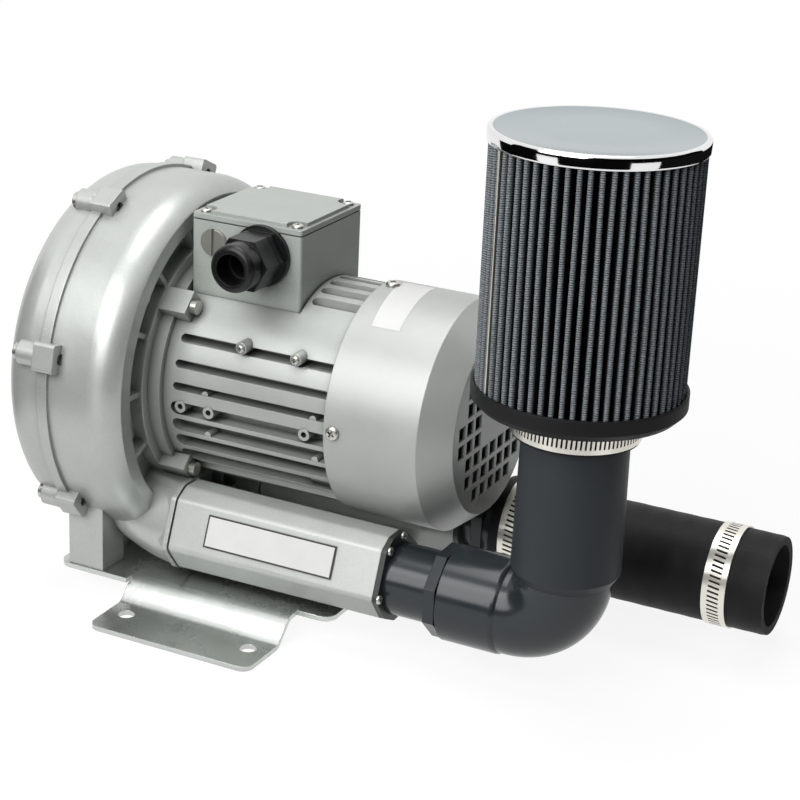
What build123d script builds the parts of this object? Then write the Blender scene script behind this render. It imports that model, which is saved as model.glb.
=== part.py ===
from build123d import *
import math
import os

# Side channel blower with its motor, silencers, inlet filter and outlet hose.
# Millimetres, +Z up, origin on the floor at the centre of the four foot holes.
# The shaft runs along X: blower housing at -X, fan grille and ports at +X.
# Heights below are measured from the shaft, which lies AXIS_HEIGHT above the floor.

AXIS_HEIGHT = 131.0
FLOOR = -AXIS_HEIGHT

# Clearances
SCREW_CLEAR = 0.15
SLIP_CLEAR = 0.1
RUN_CLEAR = 0.1
SEAT_CLEAR = 0.3
ROTOR_CLEAR = 1.0

# Foot bracket
FOOT_PITCH_X = 83.0
FOOT_PITCH_Y = 205.0
FOOT_HOLE_R = 5.0
FOOT_EDGE = 22.0
FOOT_MARGIN_X = 19.0
SHEET = 3.0
FLANGE_WIDTH = 31.0
BEND_RUN = 24.0
BEND_R = 7.0
PLATE_TOP = -115.2
PLATE_BACK_X = -103.0
PLATE_FRONT_X = 76.0
PLATE_TAB_HALF = 84.0
PLATE_TAB_CORNER = 8.0

# Blower housing
PARTING_X = -95.3
CASING_FACE_X = -44.4
RIM_R = 113.8
RIM_WIDTH = 7.0
WALL_R = 112.0
CASING_EDGE_R = 103.0
SHOULDER_X = -62.0
ANNULUS_IN_R = 94.0
RECESS_X = -57.0
HUB_LAND_R = 76.0
HUB_FACE_X = -48.0
HUB_POCKET_OUT_R = 61.0
HUB_POCKET_IN_R = 36.0
HUB_POCKET_X = -77.0
SPIGOT_HOLE_R = 30.0
SPIGOT_FLOOR_X = -74.0
RECESS_RIBS = 14
RECESS_RIB_T = 3.0
RECESS_RIB_H = 7.0
RECESS_BOSS_R = 4.0
CHANNEL_MID_R = 86.0
CHANNEL_HALF = 19.0
CHANNEL_SPAN = 320.0
CASING_CHANNEL_X = -62.0
CHANNEL_STRAIGHT = 15.0
COVER_CHANNEL_X = -120.0
COVER_BOWL = 18.0
NUT_POCKET_R = 16.0
COVER_FRONT_X = -125.0
COVER_ROUND = 22.0
COVER_CENTRE_X = -113.0
COVER_CENTRE_R = 62.0
COVER_BULGE_IN_R = 80.0
COVER_HUB_R = 26.0
COVER_HUB_X = -121.0
COVER_RIBS = 10
COVER_RIB_T = 3.2

# Joining lugs round the rim
LUG_ANGLES = (-128.6, -77.1, -25.7, 25.7, 77.1, 128.6)
LUG_LOW_ANGLE = 180.0
LUG_CENTRE_R = 112.0
LUG_TOP_R = 119.5
LUG_WIDTH = 17.0
LUG_CASING_LEN = 14.0
LUG_COVER_LEN = 12.0
LUG_BOSS_R = 7.4
LUG_SCREW_R = 3.0
LUG_HEAD_R = 4.8
LUG_HEAD_H = 4.0
LUG_HEAD_ROOM = 0.8
LUG_LOW_R = 108.0
LUG_LOW_BOSS_R = 6.4
LUG_FOOT_R = 104.0
LUG_ROUND = 2.0

# Housing legs and their bolts
LEG_Y = 72.0
LEG_HALF_Y = 11.0
LEG_LEN_X = 24.0
LEG_BOLT_R = 3.0
LEG_BOLT_DEPTH = 14.0
LEG_X = PARTING_X + LEG_LEN_X / 2
LEG_TOP = -74.0
BOLT_HEAD_R = 5.2
BOLT_HEAD_H = 4.0

# Impeller
IMPELLER_R = 102.0
IMPELLER_IN_R = 67.5
IMPELLER_X0 = -104.8
IMPELLER_X1 = -85.2
IMPELLER_WEB = 5.0
IMPELLER_VANES = 36
VANE_T = 2.4
VANE_ROOT_R = 72.0
IMPELLER_HUB_R = 18.0
CUSP_HALF_T = 1.7
CUSP_FLARE = 3.6
CUSP_RISE = 5.5
CUSP_KNEE_R = 90.0
BALANCE_HOLES = 6
BALANCE_HOLE_R = 8.0
BALANCE_PITCH_R = 42.0
NUT_X0 = -112.0
NUT_FLATS = 19.0
NUT_FLANGE_R = 13.0
NUT_FLANGE_T = 1.5

# Ports and silencers
PORT_Y = 53.0
PORT_Z = -86.0
SEAM_X = -26.0
GASKET_T = 0.8
GASKET_INSET = 0.6
SILENCER_END_X = 108.2
SILENCER_BORE_R = 20.0
SILENCER_TAPER = 0.35
FOAM_BORE_R = 14.5
NECK_ROOT_X = -62.0
NECK_ROOT_SCALE = 0.62
NECK_SHIFT_Y = 7.0
NECK_SHIFT_Z = 12.0
PASSAGE_X = -70.0
PASSAGE_R0 = 13.0
PASSAGE_R1 = 17.5
NECK_LIP = 0.9
NECK_LIP_LEN = 3.4
PORT_PLATE_T = 3.2
PORT_PLATE_INSET = 1.0
PORT_PLATE_X1 = SILENCER_END_X + PORT_PLATE_T
PIPE_R = 21.1
PIPE_WALL = 4.9
PIPE_SEAT = 14.0
PIPE_SOCKET = 24.0
PORT_SCREW_R = 1.5
PORT_HEAD_R = 2.7
PORT_HEAD_H = 1.8
PORT_SCREW_LEN = 12.0
PORT_SCREWS = ((25.8, 187.0), (25.9, 122.0), (25.6, 84.0), (25.2, -58.0), (25.0, 12.0))
# Silencer outline seen from the front, outward first: offset from the port axis and height.
OUTLINE = ((-29, -4), (-18, 24), (-9, 29), (5, 29), (24, 13), (28, -6), (17, -25), (-4, -26.5), (-17, -20))
OUTLINE_R = (4.5, 5, 6, 8, 8, 8, 8, 6, 5)

# Motor frame
FRAME_X0 = -40.0
FRAME_X1 = 70.0
FRAME_R = 66.0
BARREL_R = 55.5
STATOR_R = 50.0
SADDLE_R = 57.5
GROOVE_X0 = -31.0
GROOVE_NARROW = 4.6
GROOVES_UPPER = (33.0, 19.0, 6.0)
GROOVES_LOWER = (-7.5, -18.5, -29.5, -40.5, -50.0)
GROOVE_WIDE = 8.0
GROOVE_FLOOR = 38.0
TOP_GROOVES = (-27.0, -16.5, -6.0, 6.0, 16.5, 27.0)
TOP_GROOVE_W = 6.5
BOTTOM_GROOVES = (-22.0, -11.0, 0.0, 11.0, 22.0)
HOLLOW_BOSSES = ((-28.0, -6.0), (-9.0, -6.0), (54.0, -6.0))
SOLID_BOSSES = ((11.0, 29.0), (49.0, 29.0), (-12.0, 4.0), (59.0, 4.0), (-12.0, -22.0), (59.0, -22.0))
BOSS_R = 3.6
BOSS_HOLE_R = 1.7
STUD_R = 2.2
BOSS_Y0 = 50.5
BOSS_Y1 = 66.5
BOSS_HOLE_DEPTH = 8.0
STUD_SUNK = 0.5
BOLT_PAD_R = 5.2
BOLT_PAD_MORE = 6.0
WIRE_PORT_X = -26.0
WIRE_PORT_R = 6.0

# End shields and their bolts
FRONT_FLANGE_R = 70.0
FLANGE_LUG = 15.0
FLANGE_LUG_X1 = -30.0
FLANGE_LUG_TOP_R = 76.2
FLANGE_BOLT_R = 2.5
FLANGE_BOLT_HEAD_R = 4.2
FLANGE_BOLT_HEAD_H = 4.0
FLANGE_BOLT_PITCH_R = 71.2
FLANGE_BOLT_GRIP = 12.0
TIP_ROOM = 2.0
SPIGOT_LEN = 4.0
FRONT_HUB_X0 = -66.0
REAR_SHIELD_X1 = 77.0
REAR_RIM_R = 60.0
REAR_HUB_R = 28.5
REAR_HUB_X1 = 89.0
REAR_WINDOW_IN = 31.0
REAR_WINDOW_OUT = 46.0
REAR_WINDOWS = 6
REAR_ARM_W = 13.0
REAR_BOLT_R = 2.0
REAR_BOLT_HEAD_R = 3.6
REAR_BOLT_HEAD_H = 3.0
REAR_BOLT_LEN = 16.0
REAR_BOLT_PITCH_R = 56.5

# Bearings
BEARING_BORE_R = 10.0
BEARING_OUT_R = 23.5
BEARING_W = 14.0
INNER_RACE_R = 14.2
OUTER_RACE_R = 19.3
BALL_PITCH_R = 16.75
BALL_R = 3.9
BALLS = 7
CAGE_HALF_T = 1.0
CAGE_W = 5.0
FRONT_BEARING_X = -56.0
REAR_BEARING_X = 70.0
SPRING_T = 1.6
SEAL_X0 = -81.5
SEAL_X1 = -75.5
SEAL_R = 15.0

# Shaft, rotor and stator
SHAFT_END_X = -114.0
SHAFT_TAIL_X = 114.0
SHAFT_NUT_R = 6.0
SHAFT_IMPELLER_R = 9.5
SHAFT_CORE_R = 12.5
SHAFT_FAN_R = 8.0
SHAFT_SEAT_X = -103.5
SHAFT_STEP_X = IMPELLER_X1
SHAFT_FAN_X = 91.0
CORE_X0 = -18.0
CORE_X1 = 52.0
AIR_GAP = 0.4
STATOR_BORE_R = 31.2
SLOTS = 24
SLOT_W = 4.4
SLOT_OUT_R = 44.0
WIRE_CLEAR = 0.3
WINDING_X0 = -32.0
WINDING_X1 = 66.0
WINDING_IN_R = 34.0
WINDING_OUT_R = 47.5
ROTOR_RING_R = 29.0
ROTOR_RING_IN_R = 20.0
ROTOR_RING_LEN = 6.0

# Cooling fan
FAN_X0 = 96.0
FAN_X1 = 116.0
FAN_R = 56.0
FAN_HUB_R = 15.0
FAN_DISC_T = 2.4
FAN_BLADES = 9
FAN_BLADE_T = 2.2

# Fan cowl
COWL_X0 = 67.6
COWL_SHOULDER_X = 125.3
COWL_X1 = 141.8
COWL_R = 68.7
COWL_FACE_R = 55.3
COWL_T = 1.5
COWL_SCREW_X = 73.6
COWL_SCREW_R = 2.0
COWL_HEAD_R = 4.2
COWL_HEAD_H = 2.4
COWL_SCREW_LEN = 10.0
GRILLE_PITCH = 11.0
GRILLE_HOLE = 8.2
GRILLE_REACH = 50.5

# Terminal box
BOX_X0 = -39.4
BOX_X1 = 32.9
BOX_HALF_Y = 36.4
BOX_Z0 = 44.9
BOX_SEAM_Z = 70.0
LID_SEAM_Z = 99.5
BOX_Z1 = 104.4
BOX_CORNER_R = 2.0
BOX_WALL = 3.2
BOX_FLOOR_T = 3.0
LID_RIM_T = 2.9
LID_STEP = 5.0
LID_GASKET_T = 0.9
LID_SCREW_INSET = 6.0
LID_SCREW_R = 2.0
LID_HEAD_R = 3.5
LID_HEAD_H = 2.0
LID_SCALLOP_R = 6.1
LID_POST_R = 4.3
LID_SCREW_LEN = 16.0
GROUND_X = 29.0
GROUND_Z = 51.0
GROUND_R = 2.0
GROUND_DEPTH = 2.4

# Terminal block
BLOCK_LEN = 34.0
BLOCK_W = 24.0
BLOCK_H = 12.0
BLOCK_Y = 10.0
BLOCK_SHIFT_X = 6.0
BLOCK_BARRIER = 4.0
STUD_PITCH = 11.0
TERMINAL_R = 2.0
TERMINAL_H = 6.0
TERMINAL_NUT_R = 3.6
TERMINAL_NUT_H = 3.0

# Cable gland and blanking plug
GLAND_X = 8.0
GLAND_Z = 84.5
GLAND_THREAD_R = 10.6
GLAND_BORE_R = 9.0
GLAND_FLANGE_R = 18.0
GLAND_FLANGE_T = 3.0
GLAND_HEX_FLATS = 29.0
GLAND_HEX_T = 6.5
GLAND_THREAD_OUT = 13.0
GLAND_THREAD_IN = 9.0
GLAND_NUT_GAP = 0.6
GLAND_NUT_LEN = 26.0
GLAND_NUT_HEX_LEN = 14.0
GLAND_NUT_END_R = 14.0
GLAND_NUT_ROUND = 3.5
GLAND_MOUTH_R = 9.0
GLAND_SEAL_R = 8.0
GLAND_SEAL_LEN = 16.0
LOCKNUT_FLATS = 24.0
LOCKNUT_T = 4.5
PLUG_X = -24.0
PLUG_Z = 87.0
PLUG_HEAD_R = 8.0
PLUG_HEAD_T = 2.6
PLUG_SHANK_R = 6.0
PLUG_SHANK_LEN = 4.4
PLUG_SLOT_W = 1.8
PLUG_SLOT_D = 1.4

# Inlet pipework
COLLAR_X0 = 138.7
COLLAR_X1 = 145.5
COLLAR_FLATS = 50.0
ELBOW_X0 = 147.0
ELBOW_R = 27.7
ELBOW_BODY_R = 26.6
ELBOW_SHOULDER_X = 184.0
ELBOW_ROUND = 5.0
ELBOW_AXIS_X = 212.0
RISER_Z0 = -59.0
RISER_Z1 = 42.0
RISER_R0 = 30.4
RISER_R1 = 29.2
RISER_CHAMFER = 3.5
RISER_BORE_R = 24.3
SPIGOT_RISE = 30.0

# Air filter
BASE_Z0 = 41.0
BASE_Z1 = 53.0
BASE_R = 58.0
BASE_LOW_R = 54.0
NECK_WALL = 5.0
NECK_Z0 = 24.5
NECK_CLEAR = 0.3
MEDIA_Z0 = 47.0
BASE_BORE_R = 26.0
MEDIA_R = 56.0
MEDIA_IN_R = 43.5
PLEATS = 60
PLEAT_T = 7.0
PLEAT_TIP_TURN = 1.1
PLEAT_BACK_TURN = 0.35
CORE_R = 35.0
CORE_T = 1.2
CORE_SLOTS = 10
CORE_SLOT_W = 8.0
CORE_SLOT_MARGIN = 12.0
CAP_Z1 = 189.6
CAP_R = 57.5
CAP_LIP = 7.4
CAP_T = 1.2
CAP_ROUND = 2.0

# Outlet fitting and hose
HOSE_X0 = 132.0
HOSE_X1 = 303.0
HOSE_R = 29.6
HOSE_BORE_R = 24.2
BARB_R = 23.9
BARB_X1 = 168.0
OUTLET_COLLAR_X0 = 119.0
OUTLET_COLLAR_X1 = 126.0

# Worm drive clamps
CLAMP_BAND_T = 0.9
CLAMP_BAND_W = 14.0
CLAMP_HOUSING_LEN = 15.0
CLAMP_HOUSING_H = 10.0
CLAMP_HOUSING_ROUND = 3.0
WORM_R = 3.4
WORM_WALL = 1.4
WORM_TAIL = 2.5
WORM_HEAD_T = 5.0
WORM_HEAD_FLATS = 8.0
FILTER_CLAMP_Z = 33.0
INNER_CLAMP_X = 146.0
OUTER_CLAMP_X = 274.0
FILTER_CLAMP_TURN = 150.0
INNER_CLAMP_TURN = 62.0
OUTER_CLAMP_TURN = 64.0


def box(x0, x1, y0, y1, z0, z1):
    """Block between six planes."""
    return Pos((x0 + x1) / 2, (y0 + y1) / 2, (z0 + z1) / 2) * Box(x1 - x0, y1 - y0, z1 - z0)


def rod_x(x0, x1, r, y=0.0, z=0.0):
    """Round bar along X."""
    return Pos((x0 + x1) / 2, y, z) * Rot(0, 90, 0) * Cylinder(r, x1 - x0)


def rod_y(y0, y1, r, x=0.0, z=0.0):
    """Round bar along Y."""
    return Pos(x, (y0 + y1) / 2, z) * Rot(90, 0, 0) * Cylinder(r, abs(y1 - y0))


def rod_z(z0, z1, r, x=0.0, y=0.0):
    """Round bar along Z."""
    return Pos(x, y, (z0 + z1) / 2) * Cylinder(r, z1 - z0)


def tube_x(x0, x1, r, bore, y=0.0, z=0.0):
    """Tube along X."""
    return rod_x(x0, x1, r, y, z) - rod_x(x0, x1, bore, y, z)


def hex_rod(length, flats):
    """Hexagonal bar standing on the origin along +Z, with its distance across flats."""
    return extrude(RegularPolygon(flats / 2, 6, major_radius=False), length)


def turned_x(*edges, arc=360):
    """Solid of revolution about the shaft from profile edges drawn as (x, radius)."""
    return revolve(make_face(Plane.XZ * (Curve() + list(edges))), Axis.X, arc)


def polar(r, angle):
    """Point (y, z) at an angle from +Z, turning towards -Y."""
    return (-r * math.sin(math.radians(angle)), r * math.cos(math.radians(angle)))


def around(shape, angle):
    """Turn a shape made at the top about the shaft, towards -Y."""
    return Rot(angle, 0, 0) * shape


def profile_x(*steps):
    """Solid of revolution about the shaft through straight profile points (x, radius)."""
    return revolve(make_face(Plane.XZ * Polyline(*steps, close=True)), Axis.X)


def write(node, *shapes):
    """Save one node, lifted so that the floor is at zero."""
    solids = [s for shape in shapes for s in shape.solids()]
    placed = [Pos(0, 0, AXIS_HEIGHT) * s for s in solids]
    whole = placed[0] if len(placed) == 1 else Compound(children=placed)
    whole.label = node
    export_step(whole, os.path.join("parts", node + ".step"))


def channel_ring(x_mouth, x_straight, x_floor):
    """Side channel: a trough swept round the shaft, closed at the bottom between the ports."""
    low = CHANNEL_MID_R - CHANNEL_HALF
    high = CHANNEL_MID_R + CHANNEL_HALF
    ring = turned_x(
        Polyline((x_straight, low), (x_mouth, low), (x_mouth, high), (x_straight, high)),
        ThreePointArc((x_straight, high), (x_floor, CHANNEL_MID_R), (x_straight, low)),
        arc=CHANNEL_SPAN,
    )
    return Rot(-CHANNEL_SPAN / 2, 0, 0) * ring


def silencer_face(x, side, grow=0.0, scale=1.0, dy=0.0, dz=0.0):
    """Silencer outline as a face in the plane at x; side is -1 for the inlet, +1 for the outlet."""
    points = [(-side * a * scale, b * scale) for a, b in OUTLINE]
    sketch = make_face(Polyline(*points, close=True))
    for (a, b), r in zip(points, OUTLINE_R):
        nearest = min(sketch.vertices(), key=lambda v: (v.X - a) ** 2 + (v.Y - b) ** 2)
        sketch = fillet(nearest, r * scale)
    if grow:
        sketch = offset(sketch, grow)
    plane = Plane((x, side * PORT_Y + dy, PORT_Z + dz), x_dir=(0, 1, 0), z_dir=(1, 0, 0))
    return plane * sketch


def foot_bracket():
    """Bent sheet foot: two floor flanges, two S-bends and the raised plate with its tabs."""
    edge = FOOT_PITCH_Y / 2 + FOOT_EDGE
    bend_low = edge - FLANGE_WIDTH
    bend_high = bend_low - BEND_RUN
    under = PLATE_TOP - SHEET
    path = FilletPolyline(
        (-edge, FLOOR), (-bend_low, FLOOR), (-bend_high, under),
        (bend_high, under), (bend_low, FLOOR), (edge, FLOOR), radius=BEND_R,
    )
    strip = make_face(offset(path, SHEET, side=Side.LEFT).edges())
    half_x = FOOT_PITCH_X / 2 + FOOT_MARGIN_X
    bracket = Pos(-half_x, 0, 0) * extrude(Plane.YZ * strip, 2 * half_x)
    back = half_x + PLATE_BACK_X
    tabs = (
        (PLATE_BACK_X, 1 - half_x, PLATE_TAB_HALF),
        (half_x - 1, PLATE_FRONT_X, bend_high - BEND_R),
    )
    for x0, x1, half_y in tabs:
        outline = RectangleRounded(x1 - x0, 2 * half_y, min(PLATE_TAB_CORNER, (x1 - x0) / 2.1))
        bracket += extrude(Pos((x0 + x1) / 2, 0, under) * outline, SHEET)
    for side in (-1, 1):
        for end in (-1, 1):
            x, y = end * FOOT_PITCH_X / 2, side * FOOT_PITCH_Y / 2
            bracket -= rod_z(FLOOR - 1, FLOOR + SHEET + 1, FOOT_HOLE_R, x, y)
        bracket -= rod_z(under - 1, PLATE_TOP + 1, LEG_BOLT_R + SCREW_CLEAR, LEG_X, side * LEG_Y)
    return bracket


def foot_bolts():
    """Hexagon bolts up through the plate into the housing legs."""
    under = PLATE_TOP - SHEET
    bolt = Pos(0, 0, under - BOLT_HEAD_H) * hex_rod(BOLT_HEAD_H, BOLT_HEAD_R * 2)
    bolt += rod_z(under - 1, PLATE_TOP + LEG_BOLT_DEPTH - TIP_ROOM, LEG_BOLT_R)
    return [Pos(LEG_X, side * LEG_Y, 0) * bolt for side in (-1, 1)]


def port_neck(side):
    """Flaring duct from the channel to the silencer, with the lip at the seam."""
    lip_x = SEAM_X - GASKET_T - NECK_LIP_LEN
    root = silencer_face(NECK_ROOT_X, side, 0, NECK_ROOT_SCALE, -side * NECK_SHIFT_Y, NECK_SHIFT_Z)
    duct = loft([root, silencer_face(lip_x, side)])
    return duct + extrude(silencer_face(lip_x, side, NECK_LIP), NECK_LIP_LEN)


def port_passage(side):
    """Round way through the neck, from the channel out to the silencer."""
    start = Plane((PASSAGE_X, side * (PORT_Y - NECK_SHIFT_Y), PORT_Z + NECK_SHIFT_Z), z_dir=(1, 0, 0))
    end = Plane((SEAM_X, side * PORT_Y, PORT_Z), z_dir=(1, 0, 0))
    return loft([start * Circle(PASSAGE_R0), end * Circle(PASSAGE_R1)])


def blower_casing():
    """Motor side half of the blower housing: channel, hub, necks, lugs and legs."""
    rim_x = PARTING_X + RIM_WIDTH
    body = turned_x(
        Polyline(
            (SHOULDER_X, WALL_R), (rim_x, WALL_R), (rim_x, RIM_R), (PARTING_X, RIM_R), (PARTING_X, 0),
            (HUB_FACE_X, 0), (HUB_FACE_X, HUB_LAND_R), (RECESS_X, HUB_LAND_R),
            (RECESS_X, ANNULUS_IN_R), (CASING_FACE_X, ANNULUS_IN_R), (CASING_FACE_X, CASING_EDGE_R),
        ),
        TangentArc((SHOULDER_X, WALL_R), (CASING_FACE_X, CASING_EDGE_R), tangent=(1, 0)),
    )
    added = []
    lug = box(PARTING_X, PARTING_X + LUG_CASING_LEN, -LUG_WIDTH / 2, LUG_WIDTH / 2, LUG_FOOT_R, LUG_TOP_R)
    lug = fillet(lug.edges().filter_by(Axis.X).group_by(Axis.Z)[-1], LUG_ROUND)
    added += [around(lug, angle) for angle in LUG_ANGLES]
    rib = box(RECESS_X - 1, RECESS_X + RECESS_RIB_H, -RECESS_RIB_T / 2, RECESS_RIB_T / 2,
              HUB_LAND_R - 1, ANNULUS_IN_R + 1)
    added += [around(rib, 360 * (i + 0.5) / RECESS_RIBS) for i in range(RECESS_RIBS)]
    for i in range(RECESS_RIBS // 2):
        y, z = polar(ANNULUS_IN_R, 720 * i / RECESS_RIBS)
        added.append(rod_x(RECESS_X - 1, CASING_FACE_X - 2, RECESS_BOSS_R, y, z))
    for side in (-1, 1):
        added.append(port_neck(side))
        y0 = side * LEG_Y - LEG_HALF_Y
        added.append(box(PARTING_X, PARTING_X + LEG_LEN_X, y0, y0 + 2 * LEG_HALF_Y, PLATE_TOP, LEG_TOP))
    body = body.fuse(*added)
    cuts = [
        rod_x(PARTING_X - 1, IMPELLER_X1 + ROTOR_CLEAR, IMPELLER_R + ROTOR_CLEAR),
        channel_ring(PARTING_X - 1, CASING_CHANNEL_X - CHANNEL_STRAIGHT, CASING_CHANNEL_X),
        rod_x(SPIGOT_FLOOR_X, HUB_FACE_X + 1, SPIGOT_HOLE_R),
        tube_x(HUB_POCKET_X, HUB_FACE_X + 1, HUB_POCKET_OUT_R, HUB_POCKET_IN_R),
        rod_x(SEAL_X0 - SEAT_CLEAR, SPIGOT_FLOOR_X + 1, SEAL_R),
        rod_x(PARTING_X, SPIGOT_FLOOR_X, BEARING_BORE_R + ROTOR_CLEAR),
    ]
    for y, z in cover_screw_places():
        cuts.append(rod_x(PARTING_X - 1, PARTING_X + LUG_CASING_LEN + 1, LUG_SCREW_R + SCREW_CLEAR, y, z))
    for k in range(4):
        y, z = polar(FLANGE_BOLT_PITCH_R, 45 + 90 * k)
        cuts.append(rod_x(HUB_FACE_X - FLANGE_BOLT_GRIP, HUB_FACE_X + 1, FLANGE_BOLT_R + SCREW_CLEAR, y, z))
    room = box(HUB_FACE_X, SEAM_X, -FLANGE_LUG / 2 - SEAT_CLEAR, FLANGE_LUG / 2 + SEAT_CLEAR,
               BARREL_R, FLANGE_LUG_TOP_R + SEAT_CLEAR)
    for side in (-1, 1):
        cuts.append(port_passage(side))
        cuts.append(around(room, side * 135))
        hole = rod_z(PLATE_TOP - 1, PLATE_TOP + LEG_BOLT_DEPTH, LEG_BOLT_R + SCREW_CLEAR, LEG_X, side * LEG_Y)
        cuts.append(hole)
    return body.cut(*cuts)


def blower_cover():
    """Outer half of the housing: the bulged ring over the channel and the ribbed middle."""
    corner_x = COVER_FRONT_X + COVER_ROUND
    flat_r = WALL_R - COVER_ROUND
    across = COVER_ROUND * math.sqrt(0.5)
    inner = ((COVER_FRONT_X + COVER_CENTRE_X) / 2 - 1.5, (COVER_BULGE_IN_R + COVER_CENTRE_R) / 2 + 1.5)
    body = turned_x(
        Polyline((COVER_CENTRE_X, COVER_CENTRE_R), (COVER_CENTRE_X, COVER_HUB_R), (COVER_HUB_X, COVER_HUB_R - 2),
                 (COVER_HUB_X, 0), (PARTING_X, 0), (PARTING_X, WALL_R), (corner_x, WALL_R)),
        ThreePointArc((corner_x, WALL_R), (corner_x - across, flat_r + across), (COVER_FRONT_X, flat_r)),
        Line((COVER_FRONT_X, flat_r), (COVER_FRONT_X, COVER_BULGE_IN_R)),
        ThreePointArc((COVER_FRONT_X, COVER_BULGE_IN_R), inner, (COVER_CENTRE_X, COVER_CENTRE_R)),
    )
    added = []
    boss_x = PARTING_X - LUG_COVER_LEN
    for angle in LUG_ANGLES:
        y, z = polar(LUG_CENTRE_R, angle)
        added.append(rod_x(boss_x, PARTING_X, LUG_BOSS_R, y, z))
    y, z = polar(LUG_LOW_R, LUG_LOW_ANGLE)
    added.append(rod_x(boss_x, PARTING_X, LUG_LOW_BOSS_R, y, z))
    rib = box(COVER_HUB_X + 1, COVER_CENTRE_X + 1, -COVER_RIB_T / 2, COVER_RIB_T / 2,
              COVER_HUB_R - 4, COVER_CENTRE_R + 8)
    added += [around(rib, 360 * i / COVER_RIBS) for i in range(COVER_RIBS)]
    body = body.fuse(*added)
    cuts = [
        rod_x(IMPELLER_X0 - ROTOR_CLEAR, PARTING_X + 1, IMPELLER_R + ROTOR_CLEAR),
        channel_ring(PARTING_X + 1, COVER_CHANNEL_X + COVER_BOWL, COVER_CHANNEL_X),
        rod_x(SHAFT_END_X - ROTOR_CLEAR, IMPELLER_X0, NUT_POCKET_R),
    ]
    for y, z in cover_screw_places():
        cuts.append(rod_x(COVER_FRONT_X - 1, boss_x, LUG_HEAD_R + LUG_HEAD_ROOM, y, z))
        cuts.append(rod_x(boss_x - 1, PARTING_X + 1, LUG_SCREW_R + SCREW_CLEAR, y, z))
    return body.cut(*cuts)


def cover_screw_places():
    """Where the seven cover screws stand: six in the lugs and a low one without a lug."""
    return [polar(LUG_CENTRE_R, angle) for angle in LUG_ANGLES] + [polar(LUG_LOW_R, LUG_LOW_ANGLE)]


def cover_screws():
    """Seven socket screws that clamp the cover to the casing."""
    boss_x = PARTING_X - LUG_COVER_LEN
    tip_x = PARTING_X + LUG_CASING_LEN - TIP_ROOM
    screws = []
    for y, z in cover_screw_places():
        screw = rod_x(boss_x - LUG_HEAD_H, boss_x, LUG_HEAD_R, y, z)
        screw += rod_x(boss_x - 1, tip_x, LUG_SCREW_R, y, z)
        socket = Pos(boss_x - LUG_HEAD_H, y, z) * Rot(0, 90, 0) * hex_rod(LUG_HEAD_H * 0.6, LUG_HEAD_R)
        screws.append(screw - socket)
    return screws


def impeller():
    """Vaned wheel of the side channel: a cusped ring with radial vanes either side, on a web and hub."""
    mid = (IMPELLER_X0 + IMPELLER_X1) / 2
    x0, x1 = mid - CUSP_HALF_T, mid + CUSP_HALF_T
    bend_r = VANE_ROOT_R + CUSP_RISE
    ring = turned_x(
        ThreePointArc((IMPELLER_X0, VANE_ROOT_R), (x0 - CUSP_FLARE, bend_r), (x0, CUSP_KNEE_R)),
        Polyline((x0, CUSP_KNEE_R), (x0, IMPELLER_R), (x1, IMPELLER_R), (x1, CUSP_KNEE_R)),
        ThreePointArc((x1, CUSP_KNEE_R), (x1 + CUSP_FLARE, bend_r), (IMPELLER_X1, VANE_ROOT_R)),
        Polyline((IMPELLER_X1, VANE_ROOT_R), (IMPELLER_X1, IMPELLER_IN_R),
                 (IMPELLER_X0, IMPELLER_IN_R), (IMPELLER_X0, VANE_ROOT_R)),
    )
    vane = box(IMPELLER_X0, IMPELLER_X1, -VANE_T / 2, VANE_T / 2, VANE_ROOT_R - 2, IMPELLER_R)
    parts = [around(vane, 360 * i / IMPELLER_VANES) for i in range(IMPELLER_VANES)]
    parts.append(rod_x(mid - IMPELLER_WEB / 2, mid + IMPELLER_WEB / 2, IMPELLER_IN_R + 1))
    parts.append(rod_x(IMPELLER_X0 + 1, IMPELLER_X1, IMPELLER_HUB_R))
    wheel = ring.fuse(*parts)
    holes = []
    for i in range(BALANCE_HOLES):
        y, z = polar(BALANCE_PITCH_R, 360 * i / BALANCE_HOLES)
        holes.append(rod_x(IMPELLER_X0, IMPELLER_X1, BALANCE_HOLE_R, y, z))
    return wheel.cut(rod_x(IMPELLER_X0 - 1, IMPELLER_X1 + 1, SHAFT_IMPELLER_R), *holes)


def impeller_nut():
    """Flanged nut that holds the wheel on the shaft."""
    seat = IMPELLER_X0 + 1
    hexagon = Pos(NUT_X0, 0, 0) * Rot(0, 90, 0) * hex_rod(seat - NUT_FLANGE_T / 2 - NUT_X0, NUT_FLATS)
    nut = rod_x(seat - NUT_FLANGE_T, seat, NUT_FLANGE_R) + hexagon
    return nut - rod_x(NUT_X0 - 1, seat + 1, SHAFT_NUT_R)


def silencer(side):
    """Cast silencer body with its round bore and the wider seat for the pipe."""
    body = extrude(silencer_face(SEAM_X, side), SILENCER_END_X - SEAM_X, taper=SILENCER_TAPER)
    y = side * PORT_Y
    bore = rod_x(SEAM_X - 1, SILENCER_END_X + 1, SILENCER_BORE_R, y, PORT_Z)
    seat = rod_x(SILENCER_END_X - PIPE_SEAT - 1, SILENCER_END_X + 1, PIPE_R + SLIP_CLEAR, y, PORT_Z)
    screws = [
        rod_x(SILENCER_END_X - PORT_SCREW_LEN - 1, SILENCER_END_X + 1, PORT_SCREW_R + SCREW_CLEAR, sy, sz)
        for sy, sz in port_screw_places(side)
    ]
    return body.cut(bore, seat, *screws)


def port_screw_places(side):
    """Where the small screws stand round the end of a silencer."""
    places = []
    for r, angle in PORT_SCREWS:
        a = math.radians(angle)
        places.append((side * PORT_Y - side * r * math.cos(a), PORT_Z + r * math.sin(a)))
    return places


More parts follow.
